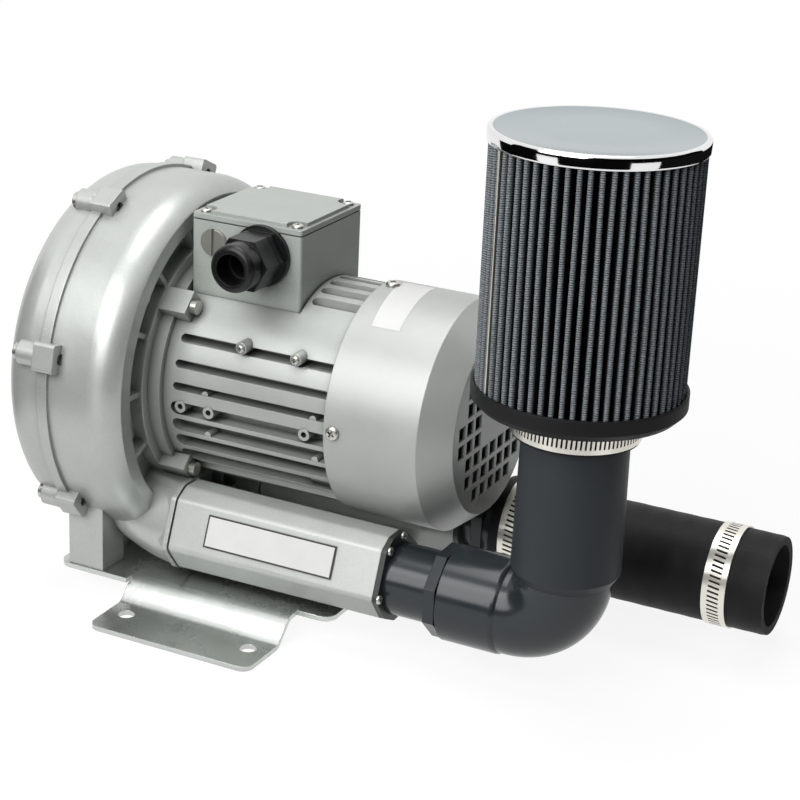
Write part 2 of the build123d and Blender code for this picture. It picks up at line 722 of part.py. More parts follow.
def silencer_gaskets():
    """Thin gaskets between the casing necks and the silencers."""
    gaskets = []
    for side in (-1, 1):
        sheet = extrude(silencer_face(SEAM_X - GASKET_T, side, -GASKET_INSET), GASKET_T)
        gaskets.append(sheet - rod_x(SEAM_X - 2, SEAM_X + 1, SILENCER_BORE_R, side * PORT_Y, PORT_Z))
    return gaskets


def silencer_foams():
    """Sound absorbing sleeves inside the silencers."""
    end = SILENCER_END_X - PIPE_SEAT - 1
    return [tube_x(SEAM_X, end, SILENCER_BORE_R, FOAM_BORE_R, side * PORT_Y, PORT_Z) for side in (-1, 1)]


def port_flange(side):
    """Plate that closes the end of a silencer round the pipe."""
    plate = extrude(silencer_face(SILENCER_END_X, side, -PORT_PLATE_INSET), PORT_PLATE_T)
    cuts = [rod_x(SILENCER_END_X - 1, PORT_PLATE_X1 + 1, PIPE_R + SLIP_CLEAR, side * PORT_Y, PORT_Z)]
    for y, z in port_screw_places(side):
        cuts.append(rod_x(SILENCER_END_X - 1, PORT_PLATE_X1 + 1, PORT_SCREW_R + SCREW_CLEAR, y, z))
    return plate.cut(*cuts)


def port_screws():
    """Pan head screws of both end plates."""
    screws = []
    for side in (-1, 1):
        for y, z in port_screw_places(side):
            head = rod_x(PORT_PLATE_X1, PORT_PLATE_X1 + PORT_HEAD_H, PORT_HEAD_R, y, z)
            shank = rod_x(SILENCER_END_X - PORT_SCREW_LEN, PORT_PLATE_X1 + 1, PORT_SCREW_R, y, z)
            screws.append(head + shank)
    return screws


def groove_cutter(x0, x1, width):
    """Round ended slot along X, lying flat at the origin and reaching outward along Z."""
    slot = box(x0, x1, -width / 2, width / 2, GROOVE_FLOOR, FRAME_R + 2)
    return slot + rod_z(GROOVE_FLOOR, FRAME_R + 2, width / 2, x0, 0)


def motor_housing():
    """Finned stator frame: barrel, round ended grooves, thin fins, bosses and the box saddle."""
    body = rod_x(FRAME_X0, FRAME_X1, FRAME_R)
    past = FRAME_X1 + 1
    slots = []
    for side in (-1, 1):
        turn = Rot(-90 * side, 0, 0)
        for z in GROOVES_UPPER:
            slots.append(Pos(0, 0, z) * turn * groove_cutter(GROOVE_X0, past, GROOVE_NARROW))
        for z in GROOVES_LOWER:
            slots.append(Pos(0, 0, z) * turn * groove_cutter(GROOVE_X0, past, GROOVE_WIDE))
    for y in TOP_GROOVES:
        slots.append(Pos(0, y, 0) * groove_cutter(BOX_X1 + TOP_GROOVE_W, past, TOP_GROOVE_W))
    for y in BOTTOM_GROOVES:
        slots.append(Pos(0, y, 0) * Rot(180, 0, 0) * groove_cutter(GROOVE_X0, past, TOP_GROOVE_W))
    land = box(FRAME_X0 - 1, BOX_X1 + 1, -BOX_HALF_Y - 1, BOX_HALF_Y + 1, BOX_Z0 - 1, FRAME_R + 1)
    core = rod_x(FRAME_X0 - 2, past + 1, BARREL_R)
    saddle = rod_x(FRAME_X0 - 2, BOX_X1 + 2, SADDLE_R)
    body = body.cut(*[slot - core for slot in slots], land - saddle)
    added = []
    for side in (-1, 1):
        for x, z in HOLLOW_BOSSES:
            added.append(rod_y(side * BOSS_Y0, side * BOSS_Y1, BOSS_R, x, z))
        for x, z in SOLID_BOSSES:
            top = side * (math.sqrt(FRAME_R ** 2 - z ** 2) - STUD_SUNK)
            added.append(rod_y(side * (BARREL_R - 8), top, STUD_R, x, z))
    for k in range(4):
        y, z = polar(REAR_BOLT_PITCH_R, 45 + 90 * k)
        added.append(rod_x(FRAME_X1 - REAR_BOLT_LEN - BOLT_PAD_MORE, FRAME_X1, BOLT_PAD_R, y, z))
    body = body.fuse(*added)
    cuts = [rod_x(FRAME_X0 - 1, past, STATOR_R), rod_z(STATOR_R - 5, SADDLE_R + 2, WIRE_PORT_R, WIRE_PORT_X)]
    for side in (-1, 1):
        for x, z in HOLLOW_BOSSES:
            floor = side * (BOSS_Y1 - BOSS_HOLE_DEPTH)
            cuts.append(rod_y(floor, side * (BOSS_Y1 + 1), BOSS_HOLE_R, x, z))
    for k in range(4):
        y, z = polar(REAR_BOLT_PITCH_R, 45 + 90 * k)
        cuts.append(rod_x(FRAME_X1 - REAR_BOLT_LEN, past, REAR_BOLT_R + SCREW_CLEAR, y, z))
    return body.cut(*cuts)


def front_end_shield():
    """Flange between motor and blower, with four square lugs, the spigot and the bearing hub."""
    half = FLANGE_LUG / 2
    lug = box(HUB_FACE_X, FLANGE_LUG_X1, -half, half, FRAME_R + SEAT_CLEAR, FLANGE_LUG_TOP_R)
    heel = box(HUB_FACE_X, FRAME_X0, -half, half, FRAME_R - 4, FLANGE_LUG_TOP_R)
    added = [around(piece, 45 + 90 * k) for k in range(4) for piece in (lug, heel)]
    added.append(rod_x(FRONT_HUB_X0, HUB_FACE_X, SPIGOT_HOLE_R - SLIP_CLEAR))
    added.append(tube_x(FRAME_X0 - 1, FRAME_X0 + SPIGOT_LEN, STATOR_R, STATOR_R - 4))
    body = rod_x(HUB_FACE_X, FRAME_X0, FRONT_FLANGE_R).fuse(*added)
    cuts = [
        rod_x(FRONT_BEARING_X, FRAME_X0 + SPIGOT_LEN + 1, BEARING_OUT_R),
        rod_x(FRONT_HUB_X0 - 1, FRAME_X0, BEARING_BORE_R + ROTOR_CLEAR),
    ]
    for k in range(4):
        y, z = polar(FLANGE_BOLT_PITCH_R, 45 + 90 * k)
        cuts.append(rod_x(HUB_FACE_X - 1, FLANGE_LUG_X1 + 1, FLANGE_BOLT_R + SCREW_CLEAR, y, z))
    return body.cut(*cuts)


def flange_bolts():
    """Four bolts through the lugs of the motor flange into the casing."""
    bolts = []
    for k in range(4):
        y, z = polar(FLANGE_BOLT_PITCH_R, 45 + 90 * k)
        head = rod_x(FLANGE_LUG_X1, FLANGE_LUG_X1 + FLANGE_BOLT_HEAD_H, FLANGE_BOLT_HEAD_R, y, z)
        bolts.append(head + rod_x(HUB_FACE_X - FLANGE_BOLT_GRIP + TIP_ROOM, FLANGE_LUG_X1 + 1, FLANGE_BOLT_R, y, z))
    return bolts


def rear_end_shield():
    """Spoked shield at the fan end, with the bearing hub and the four arms that hold the cowl."""
    body = rod_x(FRAME_X1, REAR_SHIELD_X1, REAR_RIM_R)
    arm = box(FRAME_X1, REAR_SHIELD_X1, -REAR_ARM_W / 2, REAR_ARM_W / 2, REAR_RIM_R - 4, COWL_R)
    inside = rod_x(FRAME_X1 - 1, REAR_SHIELD_X1 + 1, COWL_R - COWL_T)
    added = [around(arm, 90 * k) & inside for k in range(4)]
    added.append(rod_x(FRAME_X1, REAR_HUB_X1, REAR_HUB_R))
    added.append(tube_x(FRAME_X1 - SPIGOT_LEN, FRAME_X1 + 1, STATOR_R, STATOR_R - 3))
    body = body.fuse(*added)
    cuts = [
        rod_x(FRAME_X1 - 1, REAR_BEARING_X + BEARING_W + SPRING_T + SLIP_CLEAR * 2, BEARING_OUT_R),
        rod_x(FRAME_X1, REAR_HUB_X1 + 1, BEARING_BORE_R + ROTOR_CLEAR),
    ]
    window_r = (REAR_WINDOW_OUT - REAR_WINDOW_IN) / 2
    for i in range(REAR_WINDOWS):
        y, z = polar((REAR_WINDOW_OUT + REAR_WINDOW_IN) / 2, 360 * (i + 0.5) / REAR_WINDOWS)
        cuts.append(rod_x(FRAME_X1 - 1, REAR_SHIELD_X1 + 1, window_r, y, z))
    for k in range(4):
        y, z = polar(REAR_BOLT_PITCH_R, 45 + 90 * k)
        cuts.append(rod_x(FRAME_X1 - 1, REAR_SHIELD_X1 + 1, REAR_BOLT_R + SCREW_CLEAR, y, z))
        tapped = rod_z(COWL_R - COWL_SCREW_LEN, COWL_R, COWL_SCREW_R + SCREW_CLEAR, COWL_SCREW_X)
        cuts.append(around(tapped, 90 * k))
    return body.cut(*cuts)


def rear_shield_bolts():
    """Four bolts that hold the rear shield to the frame."""
    bolts = []
    for k in range(4):
        y, z = polar(REAR_BOLT_PITCH_R, 45 + 90 * k)
        head = rod_x(REAR_SHIELD_X1, REAR_SHIELD_X1 + REAR_BOLT_HEAD_H, REAR_BOLT_HEAD_R, y, z)
        bolts.append(head + rod_x(FRAME_X1 - REAR_BOLT_LEN + TIP_ROOM, REAR_SHIELD_X1 + 1, REAR_BOLT_R, y, z))
    return bolts


def slot_bars(width, low, high, x0, x1):
    """Bars that stand in the stator slots, or that cut them."""
    bar = box(x0, x1, -width / 2, width / 2, low, high)
    return [around(bar, 360 * i / SLOTS) for i in range(SLOTS)]


def stator_core():
    """Laminated ring with open slots."""
    ring = tube_x(CORE_X0, CORE_X1, STATOR_R, STATOR_BORE_R)
    return ring.cut(*slot_bars(SLOT_W, STATOR_BORE_R - 2, SLOT_OUT_R, CORE_X0 - 1, CORE_X1 + 1))


def stator_winding():
    """Copper in the slots and the two bound end turns."""
    mid = (WINDING_IN_R + WINDING_OUT_R) / 2
    half = (WINDING_OUT_R - WINDING_IN_R) / 2
    ends = []
    for near, far in ((CORE_X0 - WIRE_CLEAR, WINDING_X0), (CORE_X1 + WIRE_CLEAR, WINDING_X1)):
        root = (near * 2 + far) / 3
        ends.append(turned_x(
            Polyline((root, mid + half), (near, mid + half), (near, mid - half), (root, mid - half)),
            ThreePointArc((root, mid - half), (far, mid), (root, mid + half)),
        ))
    width = SLOT_W - 2 * WIRE_CLEAR
    bars = slot_bars(width, WINDING_IN_R, SLOT_OUT_R - WIRE_CLEAR, CORE_X0 - 2, CORE_X1 + 2)
    return ends[0].fuse(ends[1], *bars)


def bearing_rings(inner):
    """Inner or outer rings of the two ball bearings, each with its grooved track."""
    rings = []
    for x0 in (FRONT_BEARING_X, REAR_BEARING_X):
        mid = x0 + BEARING_W / 2
        r, bore = (INNER_RACE_R, BEARING_BORE_R) if inner else (BEARING_OUT_R, OUTER_RACE_R)
        track = Pos(mid, 0, 0) * Rot(0, 90, 0) * Torus(BALL_PITCH_R, BALL_R + RUN_CLEAR)
        rings.append(tube_x(x0, x0 + BEARING_W, r, bore) - track)
    return rings


def bearing_balls(x0):
    """Balls of one bearing in their cage."""
    mid = x0 + BEARING_W / 2
    cage = tube_x(mid - CAGE_W / 2, mid + CAGE_W / 2, BALL_PITCH_R + CAGE_HALF_T, BALL_PITCH_R - CAGE_HALF_T)
    balls = [Pos(mid, *polar(BALL_PITCH_R, 360 * i / BALLS)) * Sphere(BALL_R) for i in range(BALLS)]
    return cage.fuse(*balls)


def wave_spring():
    """Spring ring that loads the rear bearing."""
    x0 = REAR_BEARING_X + BEARING_W + SLIP_CLEAR
    return tube_x(x0, x0 + SPRING_T, BEARING_OUT_R - SEAT_CLEAR, OUTER_RACE_R)


def shaft_seal():
    """Seal between the blower chamber and the motor."""
    return tube_x(SEAL_X0, SEAL_X1, SEAL_R, BEARING_BORE_R + RUN_CLEAR)


def rotor_shaft():
    """Stepped shaft: nut thread, wheel seat, bearings, rotor seat and fan seat."""
    steps = (
        (SHAFT_END_X, SHAFT_SEAT_X, SHAFT_NUT_R), (SHAFT_SEAT_X, SHAFT_STEP_X, SHAFT_IMPELLER_R),
        (SHAFT_STEP_X, FRONT_BEARING_X + BEARING_W, BEARING_BORE_R),
        (FRONT_BEARING_X + BEARING_W, REAR_BEARING_X, SHAFT_CORE_R),
        (REAR_BEARING_X, SHAFT_FAN_X, BEARING_BORE_R), (SHAFT_FAN_X, SHAFT_TAIL_X, SHAFT_FAN_R),
    )
    bars = [rod_x(*step) for step in steps]
    return bars[0].fuse(*bars[1:])


def rotor_core():
    """Squirrel cage rotor: laminated drum with an end ring at each side."""
    drum = rod_x(CORE_X0, CORE_X1, STATOR_BORE_R - AIR_GAP)
    rings = [
        tube_x(CORE_X0 - ROTOR_RING_LEN, CORE_X0 + 1, ROTOR_RING_R, ROTOR_RING_IN_R),
        tube_x(CORE_X1 - 1, CORE_X1 + ROTOR_RING_LEN, ROTOR_RING_R, ROTOR_RING_IN_R),
    ]
    return drum.fuse(*rings) - rod_x(CORE_X0 - 9, CORE_X1 + 9, SHAFT_CORE_R)


def cooling_fan():
    """Radial fan on the tail of the shaft."""
    blade = box(FAN_X0 + 1, FAN_X1, -FAN_BLADE_T / 2, FAN_BLADE_T / 2, FAN_HUB_R - 2, FAN_R)
    blades = [around(blade, 360 * i / FAN_BLADES) for i in range(FAN_BLADES)]
    fan = rod_x(FAN_X0, FAN_X0 + FAN_DISC_T, FAN_R).fuse(rod_x(FAN_X0, FAN_X1 - 2, FAN_HUB_R), *blades)
    return fan - rod_x(FAN_X0 - 1, FAN_X1, SHAFT_FAN_R)


def fan_cowl():
    """Spun steel cowl with its tapered nose and square hole grille."""
    inner = COWL_R - COWL_T
    face_in = COWL_FACE_R - COWL_T
    cowl = profile_x(
        (COWL_X0, COWL_R), (COWL_SHOULDER_X, COWL_R), (COWL_X1, COWL_FACE_R), (COWL_X1, 0),
        (COWL_X1 - COWL_T, 0), (COWL_X1 - COWL_T, face_in), (COWL_SHOULDER_X - 0.6, inner), (COWL_X0, inner),
    )
    cuts = []
    half = GRILLE_HOLE / 2
    count = int(GRILLE_REACH / GRILLE_PITCH) + 1
    for i in range(-count, count + 1):
        for j in range(-count, count):
            y, z = i * GRILLE_PITCH, (j + 0.5) * GRILLE_PITCH
            if math.hypot(abs(y) + half, abs(z) + half) > GRILLE_REACH:
                continue
            if abs(y) < 1.5 * GRILLE_PITCH and abs(z) < GRILLE_PITCH:
                continue
            cuts.append(box(COWL_X1 - COWL_T - 1, COWL_X1 + 1, y - half, y + half, z - half, z + half))
    for k in range(4):
        hole = rod_z(COWL_R - 4, COWL_R + 2, COWL_SCREW_R + SCREW_CLEAR, COWL_SCREW_X)
        cuts.append(around(hole, 90 * k))
    return cowl.cut(*cuts)


def cowl_screws():
    """Pan head screws that hold the cowl to the arms of the rear shield."""
    screw = rod_z(COWL_R, COWL_R + COWL_HEAD_H, COWL_HEAD_R, COWL_SCREW_X)
    screw = fillet(screw.edges().group_by(Axis.Z)[-1], COWL_HEAD_H * 0.6)
    screw += rod_z(COWL_R - COWL_SCREW_LEN + 1, COWL_R + 0.5, COWL_SCREW_R, COWL_SCREW_X)
    return [around(screw, 90 * k) for k in range(4)]


def box_outline(inset=0.0):
    """Plan outline of the terminal box with small corner rounds."""
    length = BOX_X1 - BOX_X0 - 2 * inset
    width = 2 * (BOX_HALF_Y - inset)
    return Pos((BOX_X0 + BOX_X1) / 2, 0) * RectangleRounded(length, width, BOX_CORNER_R)


def box_block(z0, z1, inset=0.0):
    """Block with the plan outline of the terminal box."""
    return Pos(0, 0, z0) * extrude(box_outline(inset), z1 - z0)


def lid_corners(inset=LID_SCREW_INSET):
    """Plan places of the four lid screws."""
    return [(x, y) for x in (BOX_X0 + inset, BOX_X1 - inset) for y in (-BOX_HALF_Y + inset, BOX_HALF_Y - inset)]


def box_adapter():
    """Lower half of the terminal box, which straddles the motor barrel on its saddle."""
    body = box_block(BOX_Z0, BOX_SEAM_Z) - box_block(BOX_Z0 - 1, BOX_SEAM_Z + 1, BOX_WALL)
    floor = box_block(SADDLE_R - 2, SADDLE_R + BOX_FLOOR_T, BOX_WALL - 0.5)
    body = body + floor - rod_x(BOX_X0 - 1, BOX_X1 + 1, SADDLE_R)
    wire_hole = rod_z(SADDLE_R - 4, SADDLE_R + 8, WIRE_PORT_R + 1, WIRE_PORT_X)
    ground = rod_y(-BOX_HALF_Y - 1, -BOX_HALF_Y + GROUND_DEPTH, GROUND_R, GROUND_X, GROUND_Z)
    return body.cut(wire_hole, ground)


def terminal_box():
    """Upper half of the terminal box with its corner posts and cable openings."""
    top = LID_SEAM_Z - LID_GASKET_T
    body = box_block(BOX_SEAM_Z, top) - box_block(BOX_SEAM_Z - 1, top + 1, BOX_WALL)
    posts = [rod_z(BOX_SEAM_Z, top, LID_POST_R, x, y) for x, y in lid_corners()]
    body = body.fuse(*posts)
    cuts = []
    for x, y in lid_corners():
        cuts.append(rod_z(top - LID_SCREW_LEN, top + 1, LID_SCREW_R + SCREW_CLEAR, x, y))
    wall_in = -BOX_HALF_Y + BOX_WALL + 1
    cuts.append(rod_y(-BOX_HALF_Y - 1, wall_in, GLAND_THREAD_R + SLIP_CLEAR, GLAND_X, GLAND_Z))
    plug_in = -BOX_HALF_Y + PLUG_SHANK_LEN + 1
    cuts.append(rod_y(-BOX_HALF_Y - 1, plug_in, PLUG_SHANK_R + SLIP_CLEAR, PLUG_X, PLUG_Z))
    return body.cut(*cuts)


def lid_gasket():
    """Flat gasket under the lid."""
    z0 = LID_SEAM_Z - LID_GASKET_T
    sheet = box_block(z0, LID_SEAM_Z, 0.5) - box_block(z0 - 1, LID_SEAM_Z + 1, BOX_WALL + 0.5)
    pads = [rod_z(z0, LID_SEAM_Z, LID_POST_R, x, y) for x, y in lid_corners()]
    holes = [rod_z(z0 - 1, LID_SEAM_Z + 1, LID_SCREW_R + SCREW_CLEAR, x, y) for x, y in lid_corners()]
    return sheet.fuse(*pads).cut(*holes)


def terminal_box_lid():
    """Lid with a stepped rim and scalloped corners that leave room for the screw heads."""
    rim_z = LID_SEAM_Z + LID_RIM_T
    lid = box_block(LID_SEAM_Z, rim_z) + box_block(rim_z - 0.5, BOX_Z1, LID_STEP / 2)
    cuts = []
    for x, y in lid_corners():
        cuts.append(rod_z(rim_z, BOX_Z1 + 1, LID_SCALLOP_R, x, y))
        cuts.append(rod_z(LID_SEAM_Z - 1, rim_z + 1, LID_SCREW_R + SCREW_CLEAR, x, y))
    return lid.cut(*cuts)


def lid_screws():
    """Four pan head screws of the lid."""
    rim_z = LID_SEAM_Z + LID_RIM_T
    tip = LID_SEAM_Z - LID_GASKET_T - LID_SCREW_LEN + TIP_ROOM
    screws = []
    for x, y in lid_corners():
        head = rod_z(rim_z, rim_z + LID_HEAD_H, LID_HEAD_R, x, y)
        screws.append(head + rod_z(tip, rim_z + 1, LID_SCREW_R, x, y))
    return screws


def terminal_block():
    """Moulded block that carries the six terminals, with a barrier between the rows."""
    x = (BOX_X0 + BOX_X1) / 2 + BLOCK_SHIFT_X
    z0 = SADDLE_R + BOX_FLOOR_T
    x0, x1 = x - BLOCK_LEN / 2, x + BLOCK_LEN / 2
    body = box(x0, x1, BLOCK_Y - BLOCK_W / 2, BLOCK_Y + BLOCK_W / 2, z0, z0 + BLOCK_H)
    body += box(x0, x1, BLOCK_Y - 1, BLOCK_Y + 1, z0, z0 + BLOCK_H + BLOCK_BARRIER)
    holes = [rod_z(z0 + 2, z0 + BLOCK_H + 1, TERMINAL_R, sx, sy) for sx, sy in terminal_places()]
    return body.cut(*holes)


def terminal_places():
    """Plan places of the six terminals."""
    x = (BOX_X0 + BOX_X1) / 2 + BLOCK_SHIFT_X
    return [(x + i * STUD_PITCH, BLOCK_Y + side * BLOCK_W / 4) for i in (-1, 0, 1) for side in (-1, 1)]


def terminal_studs():
    """Brass terminals, each a stud with its nut."""
    z0 = SADDLE_R + BOX_FLOOR_T
    top = z0 + BLOCK_H
    studs = []
    for x, y in terminal_places():
        nut = Pos(x, y, top) * hex_rod(TERMINAL_NUT_H, TERMINAL_NUT_R * 2)
        studs.append(nut + rod_z(z0 + 2, top + TERMINAL_H, TERMINAL_R, x, y))
    return studs


def gland_hex(y, length, flats):
    """Hexagon on the gland axis, from y outward along -Y."""
    return Pos(GLAND_X, y, GLAND_Z) * Rot(90, 0, 0) * hex_rod(length, flats)


def cable_gland_body():
    """Gland body: flange, hexagon, outer thread tube and the tube through the box wall."""
    face = -BOX_HALF_Y
    hex_y = face - GLAND_FLANGE_T
    out_y = hex_y - GLAND_HEX_T - GLAND_THREAD_OUT
    in_y = face + BOX_WALL + GLAND_THREAD_IN
    body = rod_y(out_y, in_y, GLAND_THREAD_R, GLAND_X, GLAND_Z)
    flange = rod_y(hex_y, face, GLAND_FLANGE_R, GLAND_X, GLAND_Z)
    body = body.fuse(flange, gland_hex(hex_y, GLAND_HEX_T, GLAND_HEX_FLATS))
    return body - rod_y(out_y - 1, in_y + 1, GLAND_BORE_R, GLAND_X, GLAND_Z)


def cable_gland_seal():
    """Rubber bush that grips the cable."""
    out_y = -BOX_HALF_Y - GLAND_FLANGE_T - GLAND_HEX_T - GLAND_THREAD_OUT
    body = rod_y(out_y, out_y + GLAND_SEAL_LEN, GLAND_BORE_R, GLAND_X, GLAND_Z)
    return body - rod_y(out_y - 1, out_y + GLAND_SEAL_LEN + 1, GLAND_SEAL_R, GLAND_X, GLAND_Z)


def cable_gland_nut():
    """Domed hexagon nut of the gland with a round mouth."""
    y0 = -BOX_HALF_Y - GLAND_FLANGE_T - GLAND_HEX_T - GLAND_NUT_GAP
    hexagon = gland_hex(y0, GLAND_NUT_HEX_LEN, GLAND_HEX_FLATS)
    end_y = y0 - GLAND_NUT_LEN
    dome = rod_y(end_y, y0 - 1, GLAND_NUT_END_R, GLAND_X, GLAND_Z)
    dome = fillet(dome.edges().group_by(Axis.Y)[0], GLAND_NUT_ROUND)
    thread_y = -BOX_HALF_Y - GLAND_FLANGE_T - GLAND_HEX_T - GLAND_THREAD_OUT - SEAT_CLEAR
    nut = (hexagon + dome) - rod_y(end_y - 1, y0 + 1, GLAND_MOUTH_R, GLAND_X, GLAND_Z)
    return nut - rod_y(thread_y, y0 + 1, GLAND_THREAD_R + RUN_CLEAR, GLAND_X, GLAND_Z)


def cable_gland_locknut():
    """Thin hexagon nut inside the box."""
    y0 = -BOX_HALF_Y + BOX_WALL
    nut = gland_hex(y0 + LOCKNUT_T, LOCKNUT_T, LOCKNUT_FLATS)
    return nut - rod_y(y0 - 1, y0 + LOCKNUT_T + 1, GLAND_THREAD_R, GLAND_X, GLAND_Z)


def blanking_plug():
    """Slotted plug in the unused cable opening."""
    face = -BOX_HALF_Y
    plug = rod_y(face - PLUG_HEAD_T, face, PLUG_HEAD_R, PLUG_X, PLUG_Z)
    plug = plug + rod_y(face - 1, face + PLUG_SHANK_LEN, PLUG_SHANK_R, PLUG_X, PLUG_Z)
    slot = box(PLUG_X - PLUG_SLOT_W / 2, PLUG_X + PLUG_SLOT_W / 2,
               face - PLUG_HEAD_T - 1, face - PLUG_HEAD_T + PLUG_SLOT_D,
               PLUG_Z - PLUG_HEAD_R, PLUG_Z + PLUG_HEAD_R)
    return plug - slot


def inlet_nipple():
    """Pipe from the inlet port with the eight sided collar that meets the elbow."""
    y = -PORT_Y
    pipe = rod_x(SILENCER_END_X - PIPE_SEAT, ELBOW_X0 + PIPE_SOCKET, PIPE_R, y, PORT_Z)
    collar = Pos(COLLAR_X0, y, PORT_Z) * Rot(0, 90, 0) * extrude(
        Rot(0, 0, 22.5) * RegularPolygon(COLLAR_FLATS / 2, 8, major_radius=False), COLLAR_X1 - COLLAR_X0)
    return pipe + collar - rod_x(0, ELBOW_X0 + 99, PIPE_R - PIPE_WALL, y, PORT_Z)


def elbow_bend(r, bend_r):
    """Quarter bend between the horizontal and the upright stretch."""
    centre_x = ELBOW_AXIS_X - bend_r
    section = Plane((centre_x, -PORT_Y, PORT_Z), x_dir=(0, 1, 0), z_dir=(1, 0, 0)) * Circle(r)
    axis = Axis((centre_x, -PORT_Y, PORT_Z + bend_r), (0, -1, 0))
    return revolve(section, axis, 90)


def inlet_elbow():
    """Right angle elbow: socket hub, round bend and the spigot that the riser sits on."""
    y = -PORT_Y
    bend_r = RISER_Z0 - PORT_Z
    hub = rod_x(ELBOW_X0, ELBOW_SHOULDER_X, ELBOW_R, y, PORT_Z)
    hub = fillet(hub.edges().group_by(Axis.X)[-1], ELBOW_ROUND)
    bend = elbow_bend(ELBOW_BODY_R, bend_r)
    run = rod_x(ELBOW_SHOULDER_X - ELBOW_ROUND - 2, ELBOW_AXIS_X - bend_r, ELBOW_BODY_R, y, PORT_Z)
    spigot = rod_z(RISER_Z0, RISER_Z0 + SPIGOT_RISE, RISER_BORE_R - SLIP_CLEAR, ELBOW_AXIS_X, y)
    body = hub.fuse(bend, run, spigot)
    bore_r = PIPE_R - PIPE_WALL + 2
    cuts = [
        rod_x(ELBOW_X0 - 1, ELBOW_X0 + PIPE_SOCKET + 0.5, PIPE_R + SLIP_CLEAR, y, PORT_Z),
        rod_x(ELBOW_X0, ELBOW_AXIS_X - bend_r, bore_r, y, PORT_Z),
        elbow_bend(bore_r, bend_r),
        rod_z(RISER_Z0, RISER_Z0 + SPIGOT_RISE + 1, bore_r, ELBOW_AXIS_X, y),
    ]
    return body.cut(*cuts)


def turned_z(x, y, points):
    """Solid of revolution about an upright axis from points (radius, height)."""
    return Pos(x, y, 0) * revolve(make_face(Plane.XZ * Polyline(*points, close=True)), Axis.Z)


def riser_tube():
    """Slightly tapered coupling between the elbow and the filter."""
    return turned_z(ELBOW_AXIS_X, -PORT_Y, (
        (RISER_BORE_R, RISER_Z0), (RISER_R0 - RISER_CHAMFER, RISER_Z0),
        (RISER_R0, RISER_Z0 + RISER_CHAMFER * 1.6), (RISER_R1, RISER_Z1), (RISER_BORE_R, RISER_Z1),
    ))


def filter_base():
    """Rubber end cap of the filter: neck over the riser, floor and the rim round the pleats."""
    neck = RISER_R1 + NECK_CLEAR
    return turned_z(ELBOW_AXIS_X, -PORT_Y, (
        (neck, NECK_Z0), (neck + NECK_WALL, NECK_Z0), (neck + NECK_WALL, BASE_Z0), (BASE_LOW_R, BASE_Z0),
        (BASE_R, BASE_Z0 + 4), (BASE_R, BASE_Z1), (MEDIA_R + SEAT_CLEAR, BASE_Z1),
        (MEDIA_R + SEAT_CLEAR, MEDIA_Z0), (BASE_BORE_R, MEDIA_Z0), (BASE_BORE_R, RISER_Z1), (neck, RISER_Z1),
    ))


def pleat_ring(tip_r, valley_r, flat):
    """Zigzag outline of the pleats, with blunt tips."""
    points = []
    step = 360 / PLEATS
    for i in range(PLEATS):
        for r, turn in ((tip_r, -flat), (tip_r, flat), (valley_r, step / 2)):
            a = math.radians(i * step + turn)
            points.append((r * math.cos(a), r * math.sin(a)))
    return make_face(Polyline(*points, close=True))


def filter_media():
    """Pleated filter cloth, one continuous zigzag band."""
    back = pleat_ring(MEDIA_R - PLEAT_T, MEDIA_IN_R - PLEAT_T, PLEAT_BACK_TURN)
    band = pleat_ring(MEDIA_R, MEDIA_IN_R, PLEAT_TIP_TURN) - back
    return Pos(ELBOW_AXIS_X, -PORT_Y, MEDIA_Z0) * extrude(band, CAP_Z1 - CAP_T - MEDIA_Z0)


def filter_core():
    """Slotted tube that holds the pleats from inside."""
    y = -PORT_Y
    top = CAP_Z1 - CAP_T
    bore = rod_z(MEDIA_Z0, top, CORE_R - CORE_T, ELBOW_AXIS_X, y)
    tube = rod_z(MEDIA_Z0, top, CORE_R, ELBOW_AXIS_X, y) - bore
    slot = box(0, CORE_R + 2, -CORE_SLOT_W / 2, CORE_SLOT_W / 2,
               MEDIA_Z0 + CORE_SLOT_MARGIN, top - CORE_SLOT_MARGIN)
    slots = [Pos(ELBOW_AXIS_X, y, 0) * Rot(0, 0, 360 * i / CORE_SLOTS) * slot for i in range(CORE_SLOTS)]
    return tube.cut(*slots)


def filter_cap():
    """Bright metal lid of the filter with a turned down lip."""
    cap = rod_z(CAP_Z1 - CAP_LIP, CAP_Z1, CAP_R, ELBOW_AXIS_X, -PORT_Y)
    cap = fillet(cap.edges().group_by(Axis.Z)[-1], CAP_ROUND)
    return cap - rod_z(CAP_Z1 - CAP_LIP - 1, CAP_Z1 - CAP_T, CAP_R - CAP_T, ELBOW_AXIS_X, -PORT_Y)


def outlet_nipple():
    """Pipe from the outlet port, its collar, and the wider spigot for the hose."""
    y = PORT_Y
    pipe = rod_x(SILENCER_END_X - PIPE_SEAT, OUTLET_COLLAR_X0 + 1, PIPE_R, y, PORT_Z)
    collar = Pos(OUTLET_COLLAR_X0, y, PORT_Z) * Rot(0, 90, 0) * extrude(
        Rot(0, 0, 22.5) * RegularPolygon(COLLAR_FLATS / 2, 8, major_radius=False),
        OUTLET_COLLAR_X1 - OUTLET_COLLAR_X0)
    spigot = rod_x(OUTLET_COLLAR_X1 - 1, BARB_X1, BARB_R, y, PORT_Z)
    return pipe + collar + spigot - rod_x(0, BARB_X1 + 1, PIPE_R - PIPE_WALL, y, PORT_Z)


def outlet_hose():
    """Straight stub of wrapped rubber hose on the outlet spigot."""
    seat = rod_x(HOSE_X0 - 1, BARB_X1 + 1, BARB_R, PORT_Y, PORT_Z)
    free = rod_x(BARB_X1, HOSE_X1 + 1, HOSE_BORE_R, PORT_Y, PORT_Z)
    return rod_x(HOSE_X0, HOSE_X1, HOSE_R, PORT_Y, PORT_Z).cut(seat, free)


def worm_axis_r(band_r):
    """Distance of the worm's axis from the axis of its clamp."""
    return band_r + CLAMP_BAND_T + WORM_WALL + WORM_R + RUN_CLEAR


